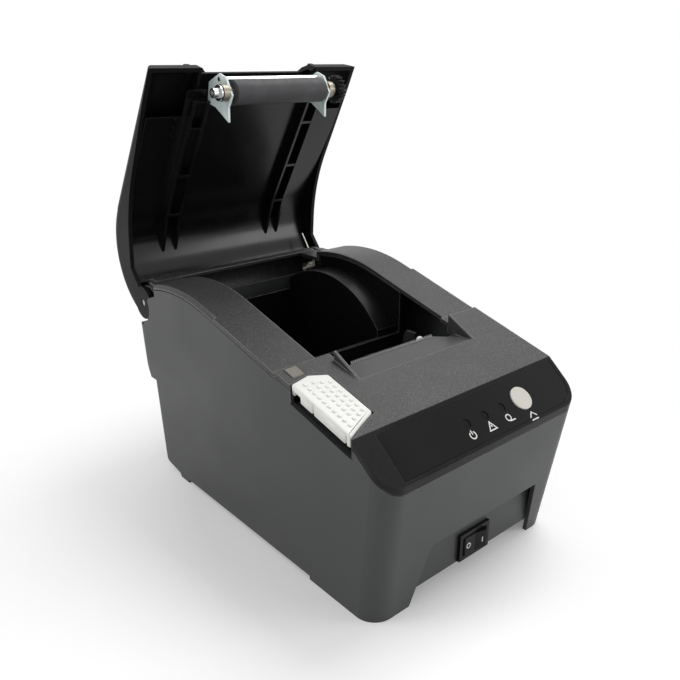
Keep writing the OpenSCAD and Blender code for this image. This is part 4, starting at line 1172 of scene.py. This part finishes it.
@dataclass
class SmallFittings:
    """Rows of louvres, contacts and painted shade of the screw recesses, pale painted highlights on the tooth tips, and
    the guide finger behind the tear edge.
    """

    finishes: Finishes
    louvre_count: int = 3
    louvre_place: Point = (-0.0468, 0.0060, 0.1143)
    louvre_step: Point = (0.00394, 0.00355, 0.0)
    louvre_size: Point = (0.0062, 0.0010, 0.0010)
    louvre_tilt: float = 17.6
    louvre_turn: float = 48.0
    drawer_count: int = 6
    drawer_place: Point = (-0.03525, 0.0985, 0.0263)
    drawer_step: Point = (0.0013, 0.0, 0.0)
    drawer_size: Point = (0.0006, 0.0070, 0.0012)
    data_count: int = 2
    data_place: Point = (-0.0083, 0.0993, 0.0232)
    data_step: Point = (0.0026, 0.0, 0.0)
    data_size: Point = (0.0009, 0.0060, 0.0006)
    screw_inset: float = 0.003
    recess_half: float = 0.0016
    recess_width: float = 0.0007
    recess_thick: float = 0.00005
    recess_gap: float = 0.00002
    tip_count: int = 46
    tip_pitch: float = 0.00125
    tip_radius: float = 0.00034
    tip_length: float = 0.0015
    tip_back: float = 0.0011
    tip_drop: float = 0.0001
    tip_lean: float = -35.0
    finger_x: float = 0.0242
    finger_half: float = 0.0017
    finger_rear: float = -0.0232
    finger_front: float = -0.0248
    finger_foot_z: float = 0.0940
    finger_shoulder_z: float = 0.0998
    finger_top_z: float = 0.1005
    finger_crown: float = 0.55
    finger_edge: float = 0.0002

    def build(self) -> None:
        """Builds the fittings."""
        self.build_louvres()
        self.build_contacts()
        self.build_recesses()
        self.build_teeth()
        self.build_finger()

    def bars(self, name: str, finish: str) -> GeometryTree:
        """A tree that lays equal rounded bars in a row: number, step and size are inputs."""
        tree = GeometryTree(
            name, {"Count": SocketKind.COUNT, "Step": SocketKind.VECTOR, "Size": SocketKind.VECTOR})
        row = tree.put("GeometryNodeMeshLine", Count="Count", Offset="Step")
        bar = tree.put("GeometryNodeMeshCube", Size="Size", Vertices_X=3, Vertices_Y=3, Vertices_Z=3)
        shaped = tree.put("GeometryNodeSubdivisionSurface", Mesh=bar.outputs["Mesh"], Level=1)
        laid = tree.put(
            "GeometryNodeInstanceOnPoints", Points=row.outputs["Mesh"], Instance=shaped.outputs[0])
        tree.close(laid.outputs[0], self.finishes[finish])
        return tree

    def build_louvres(self) -> None:
        """Three short slanted louvres on the lid's inner side, left of the liner."""
        tree = self.bars("louvre_row", "liner")
        place = (LINES.opened_lid() @ Matrix.Translation(self.louvre_place)
                 @ Matrix.Rotation(math.radians(self.louvre_tilt), 4, "X")
                 @ Matrix.Rotation(math.radians(self.louvre_turn), 4, "Z"))
        louvres = tree.bake("lid_louvres", {
            "Count": self.louvre_count, "Step": self.louvre_step, "Size": self.louvre_size}, place)
        finish_piece(louvres, "lid")

    def build_contacts(self) -> None:
        """Spring contacts in the drawer and data sockets."""
        tree = self.bars("contact_row", "brass")
        drawer = tree.bake("drawer_contacts", {
            "Count": self.drawer_count, "Step": self.drawer_step, "Size": self.drawer_size},
            Matrix.Translation(self.drawer_place))
        data = tree.bake("data_contacts", {
            "Count": self.data_count, "Step": self.data_step, "Size": self.data_size},
            Matrix.Translation(self.data_place))
        finish_piece(join_pieces("socket_contacts", [drawer, data]), "case")

    def build_recesses(self) -> None:
        """Thin dark crosses on the heads of the base screws: painted shade of their driver recesses."""
        bm = bmesh.new()
        low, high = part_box("base_screws")
        half = self.recess_half
        for x in (low.x + self.screw_inset, high.x - self.screw_inset):
            for y in (low.y + self.screw_inset, high.y - self.screw_inset):
                place = (Matrix.Translation((x, y, low.z + self.recess_gap))
                         @ Matrix.Rotation(math.radians(180), 4, "X"))
                for turn in (45, 135):
                    cross = place @ Matrix.Rotation(math.radians(turn), 4, "Z")
                    stroke(bm, [(-half, 0.0), (0.0, 0.0), (half, 0.0)], self.recess_width,
                           self.recess_thick, cross)
        bmesh.ops.recalc_face_normals(bm, faces=bm.faces)
        finish_piece(mesh_piece("screw_recess_shade", bm, self.finishes["mech"], False), "case")

    def build_teeth(self) -> None:
        """Pale tips along the toothed edge: a painted highlight on the tooth tips."""
        tree = GeometryTree("tooth_tips", {"Count": SocketKind.COUNT, "Pitch": SocketKind.LENGTH,
                                           "Tip radius": SocketKind.LENGTH, "Tip length": SocketKind.LENGTH})
        row = tree.put("GeometryNodeMeshLine", Count="Count", Offset=tree.vector("Pitch", 0.0, 0.0))
        tip = tree.put("GeometryNodeMeshCone", Vertices=8,
                       Radius_Top=tree.math("MULTIPLY", "Tip radius", 0.15),
                       Radius_Bottom="Tip radius", Depth="Tip length")
        laid = tree.put(
            "GeometryNodeInstanceOnPoints", Points=row.outputs["Mesh"], Instance=tip.outputs["Mesh"])
        tree.close(laid.outputs[0], self.finishes["tooth"])
        low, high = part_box("tear_bar")
        count, pitch = self.tip_count, self.tip_pitch
        first = -count * pitch / 2 + pitch / 2
        lean = (Matrix.Translation((first, high.y - self.tip_back, high.z - self.tip_drop))
                @ Matrix.Rotation(math.radians(self.tip_lean), 4, "X"))
        tips = tree.bake("tear_tips", {"Count": count, "Pitch": pitch, "Tip radius": self.tip_radius,
                                       "Tip length": self.tip_length}, lean)
        finish_piece(tips, "case")

    def build_finger(self) -> None:
        """The pale paper guide finger that just shows behind the tear edge."""
        bm = bmesh.new()
        half, crown = self.finger_half, self.finger_half * self.finger_crown
        sides = [(half, self.finger_foot_z), (half, self.finger_shoulder_z), (crown, self.finger_top_z),
                 (-crown, self.finger_top_z), (-half, self.finger_shoulder_z), (-half, self.finger_foot_z)]
        rings = [[bm.verts.new((self.finger_x + x, y, z)) for x, z in sides]
                 for y in (self.finger_front, self.finger_rear)]
        count = len(sides)
        for index in range(count):
            after = (index + 1) % count
            bm.faces.new((rings[0][index], rings[0][after], rings[1][after], rings[1][index]))
        bm.faces.new(rings[0])
        bm.faces.new(list(reversed(rings[1])))
        bmesh.ops.recalc_face_normals(bm, faces=bm.faces)
        bmesh.ops.bevel(bm, geom=list(bm.edges), offset=self.finger_edge, segments=2, affect="EDGES",
                        profile=0.5)
        finish_piece(mesh_piece("guide_finger", bm, self.finishes["nylon"]), "case")


# ---------------------------------------------------------------- studio


@dataclass
class Studio:
    """Camera, floor and soft light."""

    finishes: Finishes
    eye: Point = (-0.24527, -0.27130, 0.23782)
    azimuth: float = -40.82
    pitch: float = 20.96
    focal_px: float = 732.0
    frame_px: float = 680.0
    aim: Point = (0.0, 0.02, 0.08)
    lamp_size: float = 0.7
    floor_half: float = 6.0
    fill_strength: float = 0.45
    seen_strength: float = 1.0

    def build(self) -> None:
        """Builds the camera, the floor, the lamps and the world."""
        self.build_camera()
        self.build_floor()
        self.build_lamps()
        self.build_world()

    def build_camera(self) -> None:
        """Places the camera."""
        data = bpy.data.cameras.new("camera")
        data.sensor_width = 36.0
        data.lens = self.focal_px / self.frame_px * data.sensor_width
        data.clip_start = 0.01
        camera = bpy.data.objects.new("camera", data)
        camera.location = self.eye
        camera.rotation_euler = (math.radians(90.0 - self.pitch), 0.0, math.radians(self.azimuth))
        bpy.context.scene.collection.objects.link(camera)
        bpy.context.scene.camera = camera

    def build_floor(self) -> None:
        """Lays a seamless floor."""
        bm = bmesh.new()
        bmesh.ops.create_grid(bm, x_segments=1, y_segments=1, size=self.floor_half)
        floor = mesh_piece("studio_floor", bm, self.finishes["ground"], False)

    def build_lamps(self) -> None:
        """Hangs large soft lamps: overhead, left and front."""
        target = Vector(self.aim)
        for name, spot, watts in (
            ("overhead_soft", (0.60, 0.05, 1.25), 9.0),
            ("left_soft", (-1.05, 0.60, 0.80), 4.6),
            ("front_right_soft", (1.05, -1.05, 0.50), 6.0),
        ):
            data = bpy.data.lights.new(name, "AREA")
            data.size = self.lamp_size
            data.energy = watts
            lamp = bpy.data.objects.new(name, data)
            lamp.location = spot
            lamp.rotation_euler = (target - Vector(spot)).to_track_quat("-Z", "Y").to_euler()
            bpy.context.scene.collection.objects.link(lamp)

    def build_world(self) -> None:
        """Lights the surroundings softly and shows them white."""
        world = bpy.data.worlds.new("studio_world")
        bpy.context.scene.world = world
        world.use_nodes = True
        tree = world.node_tree
        tree.nodes.clear()
        out = tree.nodes.new("ShaderNodeOutputWorld")
        rays = tree.nodes.new("ShaderNodeLightPath")
        first = tree.nodes.new("ShaderNodeMath")
        first.operation = "MAXIMUM"
        second = tree.nodes.new("ShaderNodeMath")
        second.operation = "MAXIMUM"
        tree.links.new(rays.outputs["Is Camera Ray"], first.inputs[0])
        tree.links.new(rays.outputs["Is Glossy Ray"], first.inputs[1])
        tree.links.new(first.outputs[0], second.inputs[0])
        tree.links.new(rays.outputs["Is Transmission Ray"], second.inputs[1])
        lit = tree.nodes.new("ShaderNodeBackground")
        lit.inputs["Color"].default_value = (1.0, 1.0, 1.0, 1.0)
        lit.inputs["Strength"].default_value = self.fill_strength
        seen = tree.nodes.new("ShaderNodeBackground")
        seen.inputs["Color"].default_value = (1.0, 1.0, 1.0, 1.0)
        seen.inputs["Strength"].default_value = self.seen_strength
        mix = tree.nodes.new("ShaderNodeMixShader")
        tree.links.new(second.outputs[0], mix.inputs[0])
        tree.links.new(lit.outputs[0], mix.inputs[1])
        tree.links.new(seen.outputs[0], mix.inputs[2])
        tree.links.new(mix.outputs[0], out.inputs["Surface"])


def main() -> None:
    """Builds the printer's dress and the studio in order."""
    logging.basicConfig(level=logging.INFO)
    bpy.context.scene.view_settings.view_transform = "Standard"
    finishes = Finishes()
    CadDress(finishes).build()
    ReleaseButtonDress(finishes).build()
    CoilSprings(finishes).build()
    PanelMarks(finishes).build()
    RockerMarks(finishes).build()
    SmallFittings(finishes).build()
    Studio(finishes).build()


if __name__ == "__main__":
    main()
